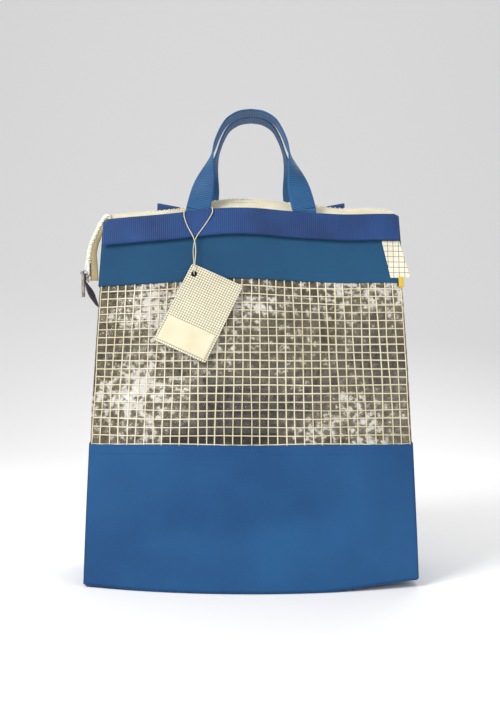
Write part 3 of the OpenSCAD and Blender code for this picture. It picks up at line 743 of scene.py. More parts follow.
# ---------------------------------------------------------------- stitching
def stitches(name, path, normal, mat, body, pitch=3.0, length=2.1):
    """A row of separate stitches along path, lying on the surface."""
    path, at = resample(np.asarray(path, float), 0.5)
    parts = []
    s = pitch / 2
    while s + length < at[-1]:
        q = np.linspace(s, s + length, 6)
        p = np.stack([np.interp(q, at, path[:, k]) for k in range(3)], -1)
        dip = 0.32 * np.array([1, 0.25, 0, 0, 0.25, 1])[:, None]
        nr = np.asarray(normal, float)
        parts.append(tube_data(p - nr * dip, nr, 0.55, 0.42, 5))
        s += pitch
    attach(merge(name, parts, mat), body)


xs = np.linspace(-1, 1, 160)
for side, fn, nrm, split in (("front", front_pt, (0, -1, 0), SPLIT_F), ("back", back_pt, (0, 1, 0), SPLIT_B)):
    # name, height, distance off the wall, distance from the corners, pitch and length of a stitch
    rows = [("lower_stitch_0", LOWER + 0.5, 0.12, 3, 3.0, 2.1),
            ("lower_stitch_1", LOWER - 6.5, 0.12, 3, 3.0, 2.1),
            ("band_stitch", split + 9.5, 0.62, 3, 3.0, 2.1),
            ("webbing_stitch_0", H - 2.2, 3.55, 3.5, 2.8, 1.9),
            ("webbing_stitch_1", H - 22.6, 3.55, 3.5, 2.8, 1.9)]
    for row, height, off, margin, pitch, length in rows:
        z = np.full(len(xs), height)
        path = fn(xs * (half_w(z) - margin), z, off)
        stitches(f"{side}_{row}", path, nrm, thread_mat, "bag", pitch, length)


# ---------------------------------------------------------------- ribbed webbing
def webbing_wall(side):
    fn = front_pt if side == "front" else back_pt
    half = half_w(H - 12) - 0.6
    xs = np.arange(-half, half + 0.01, 0.4)
    rows = np.concatenate([[0, 0.35, 1.0, 2.2], np.linspace(3.5, 21.5, 7), [22.8, 24.0, 24.65, 25.0]])
    X, D = np.meshgrid(xs, rows)
    rib = 0.32 * np.abs(np.sin(np.pi * X / 2.0))
    edge = 0.55 * (1 - np.clip(np.minimum(D, 25 - D) / 1.1, 0, 1) ** 0.5)
    # the corners of the webbing are tucked round
    corner = 4.5 * smooth((np.abs(X) - half + 5) / 5.0) ** 2 * smooth((9 - D) / 9.0)
    Z = H - D - corner
    out = 2.05 + 1.25 + rib - edge
    P = fn(X, Z, out)
    return slab(f"{side}_top_webbing", P, 1.2, np.stack([X, D], -1), top_mat, side == "back")


for side in ("front", "back"):
    bag_piece(webbing_wall(side), f"{side}_webbing", slot="webbing")


def strap(name, line, width_dirs, faces, width, t, mat, rib=1.9):
    """A ribbed strap: line is its middle, with the direction across it and its face at each point."""
    s = travelled(line)
    m = int(s[-1] / 0.42)
    q = np.linspace(0, s[-1], m)
    ip = lambda A: np.stack([np.interp(q, s, A[:, k]) for k in range(3)], -1)
    L, W, F = ip(line), ip(width_dirs), ip(faces)
    W /= np.linalg.norm(W, axis=1, keepdims=True)
    F -= (F * W).sum(1, keepdims=True) * W
    F /= np.linalg.norm(F, axis=1, keepdims=True)
    rib_h = 0.24 * np.abs(np.sin(np.pi * q / rib))
    # half of the strap's section: flat, with rounded edges
    cross = np.array([[-1, 0.0], [-0.985, 0.62], [-0.93, 0.92], [-0.8, 1], [-0.45, 1], [0, 1],
                      [0.45, 1], [0.8, 1], [0.93, 0.92], [0.985, 0.62], [1, 0.0]])
    cross = np.concatenate([cross, cross[1:-1][::-1] * [1, -1]])
    k = len(cross)
    thick = (t / 2 - 0.08 + rib_h)
    scallop = 1 - 0.03 * np.abs(np.cos(np.pi * q / rib))
    V = L[:, None] + W[:, None] * (cross[None, :, 0:1] * width / 2 * scallop[:, None, None]) \
        + F[:, None] * (cross[None, :, 1:2] * thick[:, None, None])
    i, j = np.meshgrid(np.arange(m - 1), np.arange(k), indexing="ij")
    j2 = (j + 1) % k
    Fc = np.stack([i * k + j, i * k + j2, (i + 1) * k + j2, (i + 1) * k + j], -1).reshape(-1, 4).tolist()
    Fc += [list(range(k))[::-1], [(m - 1) * k + a for a in range(k)]]
    U = np.stack([np.repeat(q, k), np.tile(cross[:, 0] * width / 2, m)], -1)
    return finish_mesh(name, V.reshape(-1, 3), Fc, mat, U)


FOLD = 3.5       # height above the top edge at which the straps bend
RISE = 100.7
STRAP_B = TB + 0.2 + 0.8
# half of a handle, from its foot: share of the leg's distance from the middle, and height above the bend
SHAPE = [[1, 0], [0.935, 14], [0.83, 39], [0.735, 58], [0.655, 72], [0.565, 83], [0.44, 92.5],
         [0.23, 98.9], [0, RISE]]


def hoop(right):
    """Both halves of a symmetrical strap, drawn from its right half, and its direction at each point."""
    pth = np.concatenate([right * [-1, 1], right[::-1][1:]])
    d = np.gradient(pth, axis=0)
    d /= np.linalg.norm(d, axis=1, keepdims=True)
    d[0], d[-1] = (0, 1), (0, -1)
    return pth, d


def handle(name, leg_x, y0, s):
    """One handle from its sewn ends over its crown, turning edge-on on the way up."""
    pth, d = hoop(spline(SHAPE, 8) * [leg_x, 1])
    up = pth[:, 1]
    a = np.radians(90 * smooth((up - 1.5) / (RISE * 0.68)))
    out = np.stack([-d[:, 1], 0 * up, d[:, 0]], -1)
    lean = 13.4 * smooth(up / RISE)
    face = np.cos(a)[:, None] * np.array([0, s, 0]) + np.sin(a)[:, None] * out
    line = np.stack([pth[:, 0], y0 - s * lean, H + FOLD + up], -1)
    wd = np.cross(np.stack([d[:, 0], 0 * up, d[:, 1]], -1), face)
    # sewn ends run down behind the top webbing
    for end, idx in ((0, 0), (1, -1)):
        x = line[idx][0]
        zz = np.linspace(H - 22, H + FOLD - 0.5, 10)
        yy = (front_y(x, zz) - 1.0) if s < 0 else (back_y(x, zz) + 1.0)
        ext = np.stack([np.full(10, x), yy, zz], -1)
        w0, f0 = np.repeat(wd[idx][None], 10, 0), np.repeat(face[idx][None], 10, 0)
        if end:
            line, wd, face = np.vstack([line, ext[::-1]]), np.vstack([wd, w0]), np.vstack([face, f0])
        else:
            line, wd, face = np.vstack([ext, line]), np.vstack([w0, wd]), np.vstack([f0, face])
    ob = strap(f"{name}_strap", line, wd, face, 24, 1.6, strap_mat)
    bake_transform(ob)
    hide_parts(name, f"{name}_ends")


handle("front_handle", 53, STRAP_F, -1)
handle("back_handle", 50, STRAP_B, 1)

# carry strap: two sewn heads on the bag and the hanging loop
CARRY_X = 87      # half the distance between its ends
CARRY_OUT = 5.5   # it folds back this far behind its sewn ends
CARRY_LEAN = 17
CARRY_FOLD = 14   # height of the folds above the bend
CARRY_LOW = 150
fold = spline([[0.4, -26.5], [0.1, -12], [0, -FOLD], [0, CARRY_FOLD - 4.5], [0.7, CARRY_FOLD - 1.4],
               [CARRY_OUT / 2, CARRY_FOLD], [CARRY_OUT - 0.7, CARRY_FOLD - 1.4],
               [CARRY_OUT, CARRY_FOLD - 4.5], [CARRY_OUT, 0]], 5)
for s, side in ((-1, "left"), (1, "right")):
    d = np.gradient(fold, axis=0)
    d /= np.linalg.norm(d, axis=1, keepdims=True)
    rock = (4.5 * s) * smooth((fold[:, 1] + 2) / 9.0)
    line = np.stack([np.full(len(fold), s * CARRY_X), STRAP_B + fold[:, 0], H + FOLD + fold[:, 1]], -1)
    wdir = np.stack([np.ones(len(fold)), 0 * rock, rock / 24.0], -1)
    face = np.stack([0 * rock, -d[:, 1], d[:, 0]], -1)
    ob = strap(f"carry_head_{side}", line, wdir, face, 25, 1.6, carry_mat)
    bag_piece(ob, *(["carry_strap_ends"] if s < 0 else []), slot="webbing")
# half of the loop: share of its half width and of its drop
CARRY_SHAPE = [[1, 0], [1, 0.16], [0.985, 0.42], [0.95, 0.62], [0.85, 0.79], [0.66, 0.91],
               [0.36, 0.98], [0, 1]]
drop = H + FOLD - CARRY_LOW
pth, d = hoop(spline(CARRY_SHAPE, 10) * [CARRY_X, drop])
down = pth[:, 1]
a = np.radians(90 * smooth((down / drop - 0.25) / 0.65))
out = np.stack([-d[:, 1], 0 * down, -d[:, 0]], -1)
face = np.cos(a)[:, None] * np.array([0, 1, 0]) + np.sin(a)[:, None] * out
y = STRAP_B + CARRY_OUT + CARRY_LEAN * smooth(down / drop * 0.8 + 0.1) - 0.47 * (1 - smooth(down / 20.0))
line = np.stack([pth[:, 0], y, H + FOLD - down], -1)
wd = np.cross(np.stack([d[:, 0], 0 * down, -d[:, 1]], -1), face)
ob = strap("carry_strap_loop", line, wd, face, 25, 1.6, carry_mat)
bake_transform(ob)
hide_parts("carry_strap")

# ---------------------------------------------------------------- small solids
def rounded_box(size, r, centre=(0, 0, 0)):
    """Points and faces of a box with rounded edges, welded."""
    h = np.asarray(size, float) / 2
    r = min(r, h.min() * 0.98)
    pts, quads, index = [], [], {}
    for ax in range(3):
        for sg in (-1, 1):
            b, c = (ax + 1) % 3, (ax + 2) % 3
            levels = lambda k: [-h[k], -h[k] + r * 0.6, h[k] - r * 0.6, h[k]]
            ids = np.zeros((4, 4), int)
            for i, p in enumerate(levels(b)):
                for j, q in enumerate(levels(c)):
                    v = np.zeros(3)
                    v[ax], v[b], v[c] = sg * h[ax], p, q
                    inner = np.clip(v, -(h - r), h - r)
                    d = v - inner
                    v = inner + d / np.linalg.norm(d) * r
                    key = tuple(np.round(v, 5))
                    if key not in index:
                        index[key] = len(pts)
                        pts.append(v)
                    ids[i, j] = index[key]
            for i in range(3):
                for j in range(3):
                    q = [ids[i, j], ids[i + 1, j], ids[i + 1, j + 1], ids[i, j + 1]]
                    quads.append(q if sg > 0 else q[::-1])
    return np.array(pts) + np.asarray(centre, float), [[int(i) for i in q] for q in quads]


def placed(part, M, o):
    """Points of a part moved by the frame M (columns are its axes) to the origin o."""
    v, f = part[0], part[1]
    return (v @ np.asarray(M).T + o, f, np.stack([v[:, 0], v[:, 1]], -1))


def outline_inset(o, r):
    d = np.roll(o, -1, 0) - np.roll(o, 1, 0)
    d /= np.maximum(np.linalg.norm(d, axis=1, keepdims=True), 1e-9)
    return o + np.stack([-d[:, 1], d[:, 0]], -1) * r


def prism(o, z0, z1, r):
    """A solid from a counterclockwise outline, with rounded rims."""
    n = len(o)
    rings = [(outline_inset(o, r), z0), (outline_inset(o, r * 0.3), z0 + r * 0.3), (o, z0 + r), (o, z1 - r),
             (outline_inset(o, r * 0.3), z1 - r * 0.3), (outline_inset(o, r), z1)]
    V = np.concatenate([np.column_stack([a, np.full(n, z)]) for a, z in rings])
    F = []
    for k in range(len(rings) - 1):
        for i in range(n):
            j = (i + 1) % n
            F.append([k * n + i, k * n + j, (k + 1) * n + j, (k + 1) * n + i])
    F.append(list(range(n))[::-1])
    F.append([(len(rings) - 1) * n + i for i in range(n)])
    return V, F


def annulus(inner, outer, steps, t, r=0.25, bend=None):
    """A plate between two counterclockwise outlines with the same number of points."""
    n = len(inner)
    inn, out = outline_inset(inner, -r), outline_inset(outer, r)
    face = [inn + (out - inn) * f for f in np.linspace(0, 1, steps)]
    rim = [(r * 0.3, t / 2 - r * 0.3), (0, t / 2 - r), (0, -t / 2 + r), (r * 0.3, -t / 2 + r * 0.3)]
    rows = [(o, t / 2) for o in face]
    rows += [(outline_inset(outer, k), z) for k, z in rim]
    rows += [(o, -t / 2) for o in face[::-1]]
    rows += [(outline_inset(inner, -k), z) for k, z in rim[::-1]]
    V = np.concatenate([np.column_stack([a, np.full(n, z)]) for a, z in rows])
    if bend is not None:
        V[:, 2] += bend(V[:, 0], V[:, 1])
    m = len(rows)
    F = []
    for k in range(m):
        k2 = (k + 1) % m
        for i in range(n):
            j = (i + 1) % n
            F.append([k * n + i, k2 * n + i, k2 * n + j, k * n + j])
    return V, F


def circle(r, n=48, c=(0, 0)):
    a = np.linspace(0, 2 * math.pi, n, endpoint=False)
    return np.stack([c[0] + r * np.cos(a), c[1] + r * np.sin(a)], -1)


def round_rect(x0, y0, x1, y1, r, per=10, along=14):
    pts = []
    corners = ((x1 - r, y0 + r, -90), (x1 - r, y1 - r, 0), (x0 + r, y1 - r, 90), (x0 + r, y0 + r, 180))
    for cx, cy, a0 in corners:
        for a in np.radians(np.linspace(a0, a0 + 90, per)):
            pts.append([cx + r * math.cos(a), cy + r * math.sin(a)])
    pts = np.array(pts)
    out = []
    for k in range(len(pts)):
        a, b = pts[k], pts[(k + 1) % len(pts)]
        steps = along if np.linalg.norm(b - a) > 2.5 * r * math.pi / 2 / per else 1
        for i in range(steps):
            out.append(a + (b - a) * i / steps)
    return np.array(out)


def hole_ring(outer, r, c):
    """Points of a round hole, one facing each point of the outline round it."""
    a = np.arctan2(outer[:, 1] - c[1], outer[:, 0] - c[0])
    return np.stack([c[0] + r * np.cos(a), c[1] + r * np.sin(a)], -1)


# ---------------------------------------------------------------- zip over the mouth
RIDGE = H + 8.0
FOLD_Y = TF + 2.0 + 0.4
GRIP, FLAT = 2.6, 4.3      # the tape starts this far from the middle of the teeth, and lies flat for this far
REACH, BACKT = 1.5, 4.0    # a tooth reaches this far past the middle, and this far back over its tape
PITCH, TOOTH_T = 4.7, 3.4
TAPE_T = 0.8
TOOTHED = 282.0            # length of the toothed mouth


def tooth_row(name, body, node, frames, width, mirrored):
    """One side's teeth: each has two jaws over the tape, a head and a raised spine."""
    jaw = TOOTH_T / 2 - 0.4 - 0.15
    grip_l = BACKT - GRIP + 0.5
    parts = [rounded_box((width, grip_l, jaw), 0.3, (0, -(BACKT + GRIP - 0.5) / 2, z * (0.55 + jaw / 2)))
             for z in (-1, 1)]
    parts.append(rounded_box((width, GRIP + REACH, TOOTH_T), 0.45, (0, (REACH - GRIP) / 2 + 0.07, 0)))
    parts.append(rounded_box((width * 0.55, 1.5, TOOTH_T + 0.5), 0.3, (0, -2.1, 0)))
    row = []
    for M, o in frames:
        for part in parts:
            v, f, u = placed(part, M, o)
            row.append((v, [q[::-1] for q in f] if mirrored else f, u))
    settle(merge(name, row, tooth_mat), body, "zip_teeth", node)


def ridge_up(x):
    """The closed zip stands higher between the handles' legs and a little higher at the right."""
    x = np.asarray(x)
    return 5.0 * np.exp(-((x - 6) / 62.0) ** 4) + 1.8 * smooth((x - 40) / 30.0) * smooth((142 - x) / 20.0)


def mouth_frame(x, mir):
    slope = (arch(x + 2, H) - arch(x - 2, H)) / 4
    M = np.array([[1, 0, -slope], [0, mir, 0], [slope, 0, 1]], float)
    return M, np.array([x, MID, RIDGE + arch(x, H) + ridge_up(x)])


# the front tape's section, from its hidden hem over the fold to the teeth
section = spline([[FOLD_Y + 0.2, H - 14], [FOLD_Y, H - 5], [FOLD_Y + 0.1, H - 0.6], [FOLD_Y + 2.4, H + 1.6],
                  [MID - GRIP - FLAT - 3, RIDGE - 1.5], [MID - GRIP - FLAT, RIDGE - 0.1],
                  [MID - GRIP, RIDGE]], 6)
xs = np.linspace(-144, 144, 289)
at = travelled(section)
X, A = np.meshgrid(xs, at)
loose = smooth(A / 15.0 - 0.6) * smooth((at[-1] - A) / 5.0)
raised = lambda x, a: arch(x, H) + ridge_up(x) * smooth((a - 14) / (at[-1] - 20.0))
seam = int(np.argmin(abs(at - (at[-1] - GRIP - FLAT - 4.6))))
for k, (side, mir) in enumerate((("front", 1), ("back", -1))):
    across = lambda y: y if mir > 0 else 2 * MID - y
    Y = np.repeat(section[:, :1], len(xs), 1)
    Z = section[:, 1:] + raised(X, A) + loose * waves(X, Y, 61 + k, 0.55, 46)
    P = np.stack([X, across(Y), Z], -1)
    ob = slab(f"{side}_zip_cloth", P, TAPE_T, np.stack([X, A], -1), tape_mat, mir < 0)
    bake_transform(ob)
    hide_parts(f"{side}_zip_tape")
    first = 0.25 if mir > 0 else 0.75
    frames = [mouth_frame(-TOOTHED / 2 + PITCH * (i + first), mir) for i in range(int(TOOTHED / PITCH))]
    tooth_row(f"{side}_zip_tooth_row", f"{side}_zip_half", f"{side}_zip_teeth", frames,
              PITCH / 2 - 0.45, mir < 0)
    # the seam along the tape's upper face
    row = np.stack([xs, 0 * xs + across(section[seam, 0]), section[seam, 1] + raised(xs, at[seam]) + 0.1], -1)
    stitches(f"{side}_zip_stitch", row, (0, -0.4 * mir, 0.9), thread_light, f"{side}_zip_half")

# ---------------------------------------------------------------- zip tail
unit = lambda v: np.asarray(v, float) / np.linalg.norm(v)
tail_dir = unit([-0.03, -0.02, -1])
END_OUT = unit([-0.82, -0.55, 0])
# from the mouth's left end over the corner and down, with a straight stretch for the slider
tail_pts = np.array([[-142.5, 27.8, 355.8], [-148.2, 27.2, 354.3], [-152.9, 26.3, 346.8], [-157, 25, 338],
                     [-161.5, 23.5, 327], [-164, 22.8, 316]])
straight = np.array([tail_pts[-1] + tail_dir * 27 * k / 4 for k in range(1, 5)])
TAIL_STEPS = 8
line = spline(np.vstack([tail_pts, straight]), TAIL_STEPS)
par = np.arange(len(line)) / TAIL_STEPS - 1.0        # 0 at the corner, 1 more at each point down the tail
ts = np.gradient(line, axis=0)
ts /= np.linalg.norm(ts, axis=1, keepdims=True)
SEEN_OUT = unit([-0.70, -0.58, 0.42])
raw = SEEN_OUT + (END_OUT - SEEN_OUT) * smooth(par / 4)[:, None]
raw = np.array([0, 0, 1]) * (1 - smooth(par + 1))[:, None] + raw * smooth(par + 1)[:, None]
ns = raw - (raw * ts).sum(1, keepdims=True) * ts
ns /= np.linalg.norm(ns, axis=1, keepdims=True)
bs = np.cross(ts, ns)
tail_at = travelled(line)
TAIL_L = tail_at[-1]


def tail_frame(s):
    f = lambda A: np.array([np.interp(s, tail_at, A[:, k]) for k in range(3)])
    p, t, n = f(line), unit(f(ts)), f(ns)
    n = unit(n - (n @ t) * t)
    return p, t, n, np.cross(t, n)


neck = smooth((par + 1) / 1.3)      # 0 where the tapes leave the mouth, 1 on the tail
mouth_w, mouth_splay, tail_splay = 17.4, 64.2, 52
# a whiter copy of the zip tape: painted light for the tail's back tape; the front tape gets the darker
# painted-shade copy
tape_painted_light = twill("zip_tape_painted_light", lin(243, 241, 232), lin(222, 217, 200))
for side, sgn, w0, w1, mat in (("front", -1, 1.2, 7, tape_shade), ("back", 1, 5, 8, tape_painted_light)):
    wid = mouth_w * (1 - neck) + (w0 + (w1 - w0) * np.clip(par / 8, 0, 1)) * neck
    splay = np.radians(mouth_splay * (1 - neck) + tail_splay * neck)
    b = bs * sgn
    fall = b * np.sin(splay)[:, None] - ns * np.cos(splay)[:, None]
    cols = []
    flat = FLAT + (2.2 * neck * (1 - smooth((par - 5.0) / 2.5)) if sgn > 0 else 0 * neck)
    for q in np.linspace(0, 1, 5):
        cols.append(line + b * (GRIP + flat * q)[:, None])
    for q in np.linspace(0, 1, 8)[1:]:
        puff = ns * (0.35 * math.sin(q * math.pi))
        cols.append(line + b * (GRIP + flat)[:, None] + fall * (wid * q)[:, None] + puff)
    P = np.stack(cols, 1)                      # rows run down the tail
    lat = np.concatenate([np.linspace(0, FLAT, 5), FLAT + np.linspace(0, 1, 8)[1:] * 8])
    U = np.stack([np.repeat(tail_at[:, None], P.shape[1], 1), np.repeat(lat[None], len(line), 0)], -1)
    # a little gathering where the tapes turn over the corner
    pucker = 0.35 * np.sin(tail_at / 1.9) * smooth((par + 0.6) / 0.6) * smooth((2.6 - par) / 1.2)
    P = P + ns[:, None] * (pucker[:, None] * (lat / 12)[None])[..., None]
    ob = slab(f"tail_{side}_cloth", P, TAPE_T, U, mat, sgn < 0)
    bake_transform(ob)
    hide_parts(f"tail_{side}_tape")

SLIDER_L, CHANNEL, PLATE_T = 16.0, 4.4, 1.3
SLIDER_AT = TAIL_L - 13
for side, sgn, shift in (("front", -1, 0.25), ("back", 1, 0.75)):
    frames = []
    s = SLIDER_AT - SLIDER_L / 2 + 1 - PITCH * shift
    while s > 5.5:
        o, t, n, b = tail_frame(s)
        frames.append((np.stack([t, b * -sgn, n], 1), o))
        s -= PITCH
    tooth_row(f"tail_{side}_tooth_row", "zip_tail", f"tail_{side}_teeth", frames, PITCH / 2 - 0.65, sgn > 0)

o, t, n, b = tail_frame(SLIDER_AT + SLIDER_L / 2 + 2.6)
M = np.stack([t, b, n], 1)
row = [placed(rounded_box((3.2, 4.8, 3.2), 0.6), M, o)]
for sy in (-1, 1):
    for sz in (-1, 1):
        row.append(placed(rounded_box((3.2, 3.4, 1.15), 0.4, (0, sy * 4.0, sz * 1.01)), M, o))
settle(merge("zip_stop", row, tooth_mat), "zip_tail", "zip_teeth", "zip_end_stop")

# ---------------------------------------------------------------- slider
o, t, n, b = tail_frame(SLIDER_AT)
M = np.stack([t, b, n], 1)
end, plate_z = SLIDER_L / 2, CHANNEL / 2
# half of the plate's outline, from the narrow end to the wide one
edge = [[-end, 1.6], [-end + 1.2, 3.6], [-end + 4, 4.2], [0, 5.0], [end - 2.2, 6.1], [end - 0.6, 5.9],
        [end, 4.9]]
outline = [[x, -y] for x, y in edge] + [[end, 0]] + edge[::-1] + [[-end, -1.6]]
plate = spline(outline, 4)[:-1]
row = [placed(prism(plate, z, z + PLATE_T, 0.45), M, o) for z in (plate_z, -plate_z - PLATE_T)]
row.append(placed(rounded_box((2.4, 1.8, CHANNEL + 0.4), 0.3, (end - 1.2, 0, 0)), M, o))
BAR_X, BAR_Z = 5.2, plate_z + PLATE_T + 2.6
for sy in (-1, 1):
    # rails that guide the teeth
    rail = np.array([[-end + 2.0, sy * 3.6], [0, sy * 4.55], [end - 2.4, sy * 5.6]])
    for z in (plate_z - 0.05, -plate_z + 0.05):
        path = spline(np.column_stack([rail, np.full(3, z)]), 5)
        row.append(placed(tube_data(path, (0, 0, 1), 0.9, 0.7, 8), M, o))
    row.append(placed(rounded_box((2.6, 1.4, 3.9), 0.5, (BAR_X, sy * 5.1, plate_z + PLATE_T + 1.85)), M, o))
bar = np.array([[BAR_X, y, BAR_Z] for y in (-4.6, 0, 4.6)])
row.append(placed(tube_data(bar, (0, 0, 1), 2, 2, 24), M, o))
row.append(placed(rounded_box((5.4, 2.2, 0.9), 0.4, (-2.2, 0, plate_z + PLATE_T + 0.3)), M, o))
settle(merge("slider_body", row, slider_mat), "slider", "slider_white", "zip_slider")

# the tab and the leather hang from the bar
bar_mid = o + t * BAR_X + n * BAR_Z
tab_up = unit(np.array([0, 0, 1]) - b[2] * b)
tab_out = np.cross(b, tab_up)
BAR = np.stack([tab_out, tab_up, -b], 1)
TAB_FROM, TAB_W, TAB_L, TAB_T = -4.3, 5.8, 25, 1.7
EYE_BORE, EYE_R = 1.07, 2.1
tab_mid = bar_mid - b * (TAB_FROM + TAB_W / 2)
row = [placed(annulus(circle(EYE_BORE, 40), circle(EYE_R, 40), 3, TAB_W, 0.2), BAR, tab_mid)]
FACE = np.stack([b, tab_up, tab_out], 1)
hole = (0, -TAB_L + 3.6)
outline = round_rect(-TAB_W / 2, -TAB_L, TAB_W / 2, -1.55, 1.3, 8, 16)
row.append(placed(annulus(hole_ring(outline, 1.7, hole), outline, 10, TAB_T, 0.3), FACE, tab_mid))
rim = annulus(hole_ring(outline, 1.9, hole), hole_ring(outline, 2.5, hole), 3, TAB_T + 0.3, 0.15)
row.append(placed(rim, FACE, tab_mid))
for sx in (-1, 1):
    # a shallow raised rib down each face
    rib = rounded_box((1.8, 11.5, 0.5), 0.2, (0, -10.5, sx * (TAB_T / 2 + 0.05)))
    row.append(placed(rib, FACE, tab_mid))
settle(merge("tab_plate", row, steel_mat), "pull_tab", "tab_steel", "pull_tab")

PULL_T, NECK_L = 2.0, 9.5
pull_mid = bar_mid - b * (TAB_FROM + TAB_W + 0.4 + PULL_T / 2)
row = [placed(annulus(circle(1.1, 40), circle(EYE_R, 40), 3, PULL_T, 0.3), BAR, pull_mid)]
slant = math.radians(30)
blade = [[math.sin(slant) * q, -NECK_L - math.cos(slant) * q] for q in (3, 7, 11.6, 17, 23, 28.6)]
pts = spline(np.array([[0, -1.6], [0, -4.5], [0, -NECK_L + 1.2], [0, -NECK_L]] + blade), 8)
s = travelled(pts)
half = np.interp(s - NECK_L, [-NECK_L, 2 - NECK_L, -3, 0, 3, 7.5, 11, 15, 24, s[-1] - NECK_L],
                 [1.25, 1.3, 1.3, 1.4, 1.95, 2.95, 3.35, 3.2, 1.6, 0.45])
d = np.gradient(pts, axis=0)
d /= np.linalg.norm(d, axis=1, keepdims=True)
side_v = np.stack([-d[:, 1], d[:, 0]], -1)
th = np.linspace(0, 2 * math.pi, 20, endpoint=False)
cx = np.sign(np.cos(th)) * np.abs(np.cos(th)) ** 0.75
cz = np.sign(np.sin(th)) * np.abs(np.sin(th)) ** 0.45
rings = []
for i in range(len(pts)):
    # a pressed line down the middle of the blade
    depth = 0.16 * smooth((s[i] - NECK_L) / 6) * smooth((s[-1] - 4 - s[i]) / 6)
    crease = -depth * np.exp(-(cx / 0.13) ** 2) * np.sign(cz)
    z = cz * (PULL_T / 2 - 0.1) + crease + 0.25 * math.sin(s[i] / 7.0)
    rings.append(np.column_stack([pts[i] + side_v[i] * (cx * half[i])[:, None], z]))
k = len(th)
last = (len(pts) - 1) * k
F = []
for i in range(len(pts) - 1):
    for j in range(k):
        a, c = i * k, i * k + k
        F.append([a + j, c + j, c + (j + 1) % k, a + (j + 1) % k])
F += [list(range(k)), [last + j for j in range(k)][::-1]]
row.append(placed((np.concatenate(rings), F), BAR, pull_mid))
settle(merge("leather_leaf", row, plum_mat), "leather_pull", "leather_plum", "leather_pull")

# ---------------------------------------------------------------- string loop, tag and label
def on_arch(p):
    return [p[0], p[1], p[2] + float(arch(p[0], H)) + 0.7]


left = [[ARM_L, STR_Y - 1.3, LOOP_Z - 0.7], [ARM_L, STR_Y - 0.9, LOOP_Z - 0.1], [ARM_L, 1.5, LOOP_Z],
        [ARM_L + 0.5, LOOP_BACK - 0.4, LOOP_Z], [ARM_L + 1.6, LOOP_BACK, LOOP_Z]]
right = [[ARM_L + ARM_R - x, y, z] for x, y, z in left[::-1]]
loop = spline([on_arch(p) for p in left + right], 4)
ob = merge("string_top", [tube_data(loop, (0, 0, 1), 2 * STRING_R, 2 * STRING_R, 10)], string_mat)
bag_piece(ob, "tag_string_loop", slot="string_cream")

TAG_W, TAG_L, TAG_T = 55, 85, 0.8
HOLE_X, HOLE_Y = 6.5, 9.2       # the hole from the tag's upper left corner
tip, turn = math.radians(90 - 13.5), math.radians(-25)
lean = np.array([[1, 0, 0], [0, math.cos(tip), -math.sin(tip)], [0, math.sin(tip), math.cos(tip)]])
spin = np.array([[math.cos(turn), -math.sin(turn), 0], [math.sin(turn), math.cos(turn), 0], [0, 0, 1]])
TAG = lean @ spin
HOLE = np.array([-55.5, -12.9, 292.5])


def curl(x, y):
    return -0.5 * (x / 40) ** 2 + 0.7 * (np.minimum(y, 0) / 75) ** 2 * np.sin(x / 16)


card = round_rect(-HOLE_X, HOLE_Y - TAG_L, TAG_W - HOLE_X, HOLE_Y, 2.4, 8, 20)
body = annulus(hole_ring(card, 3.0, (0, 0)), card, 26, TAG_T, 0.15, curl)
settle(merge("tag_card", [placed(body, TAG, HOLE)], tag_mat), "hang_tag", "tag_card", "hang_tag")
ring = annulus(circle(2.3, 40), circle(3.1, 40), 3, 1.2, 0.25)
settle(merge("tag_ring", [placed(ring, TAG, HOLE)], eyelet_mat), "hang_tag", "eyelet_dark", "tag_eyelet")
plain = plastic("tag_panel", lin(228, 220, 192), lin(212, 202, 170), (0.55, 0.75), scale=40)
x, y = np.meshgrid(np.linspace(-3.4, 45.4, 40), np.linspace(-73, -47, 24))
panel = slab_data(np.stack([x, y, 0.56 + curl(x, y)], -1), 0.3, np.stack([x, y], -1))
settle(merge("tag_plain_panel", [placed(panel, TAG, HOLE)], plain), "hang_tag", "tag_card")

LABEL_TOP, LABEL_W, LABEL_L = H - 25 - 1.2, 17, 38
label_x = float(half_w(LABEL_TOP)) - LABEL_W - 0.4
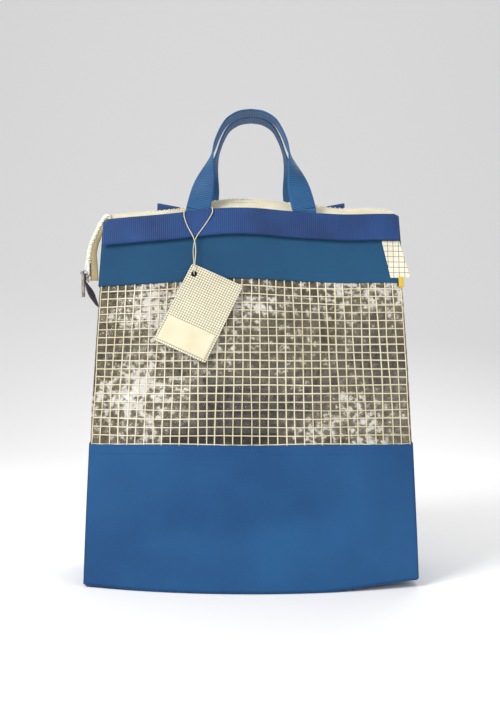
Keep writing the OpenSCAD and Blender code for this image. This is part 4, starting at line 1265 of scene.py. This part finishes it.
# q runs down the label, which drifts outwards and widens a little; k runs across it
k, q = np.meshgrid(np.linspace(0, 1, 20), np.linspace(1, 0, 40))
X = label_x + k * (LABEL_W + 2 * q) + 8 * q
Z = LABEL_TOP - LABEL_L * q + k * q
P = front_pt(X, Z, 1.3 + 0.6 * q + 0.5 * np.sin(q * 5 + k * 2) * q)
ob = slab("side_label_cloth", P, 0.7, np.stack([X - label_x, Z - LABEL_TOP], -1), label_mat)
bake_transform(ob)
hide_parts("side_label")
sewn = front_pt(np.linspace(label_x + 1, label_x + LABEL_W - 1, 20), np.full(20, LABEL_TOP - 1.4), 1.5)
stitches("label_stitch", sewn, (0, -1, 0), thread_light, "bag")
yellow = twill("binding_yellow", lin(226, 196, 72), lin(196, 160, 48))
zs = np.linspace(281, 291, 12)
strip("yellow_fold", front_pt(half_w(zs) - 3.4, zs, 1.2), (1, 0, 0), 4.2, 0.8, yellow)

# ---------------------------------------------------------------- stage
floor_mat = Mat("floor", (0.9, 0.9, 0.9), rough=0.9, spec=0.05).m
FLOOR_HALF, TURN_R, TURN_Y = 5.0, 1.6, 0.9
side_line = [(-4.0, 0.0)]
for a in np.linspace(0, math.pi / 2, 24):
    side_line.append((TURN_Y + TURN_R * math.sin(a), TURN_R * (1 - math.cos(a))))
side_line.append((TURN_Y + TURN_R, 6.0))
verts = [(x, y, z - 0.0006) for y, z in side_line for x in (-FLOOR_HALF, FLOOR_HALF)]
me = bpy.data.meshes.new("floor")
me.from_pydata(verts, [], [[2 * k, 2 * k + 1, 2 * k + 3, 2 * k + 2] for k in range(len(side_line) - 1)])
me.materials.append(floor_mat)
me.polygons.foreach_set("use_smooth", [True] * len(me.polygons))
floor = bpy.data.objects.new("floor", me)
col.objects.link(floor)
world = sc.world or bpy.data.worlds.new("world")
sc.world = world
world.use_nodes = True
world.node_tree.nodes["Background"].inputs[0].default_value = (1, 1, 1, 1)
world.node_tree.nodes["Background"].inputs[1].default_value = 0.62


def area(name, loc, target, size, power):
    li = bpy.data.lights.new(name, "AREA")
    li.size = size
    li.energy = power
    ob = bpy.data.objects.new(name, li)
    ob.location = loc
    ob.rotation_euler = (Vector(target) - Vector(loc)).to_track_quat("-Z", "Y").to_euler()
    col.objects.link(ob)


area("key", (-0.9, -0.75, 1.1), (0, 0, 0.2), 0.55, 17)
area("fill", (1.0, -0.9, 0.5), (0, 0, 0.2), 0.9, 4)
area("rim", (0.3, 0.9, 1.2), (0, 0, 0.25), 0.8, 7)

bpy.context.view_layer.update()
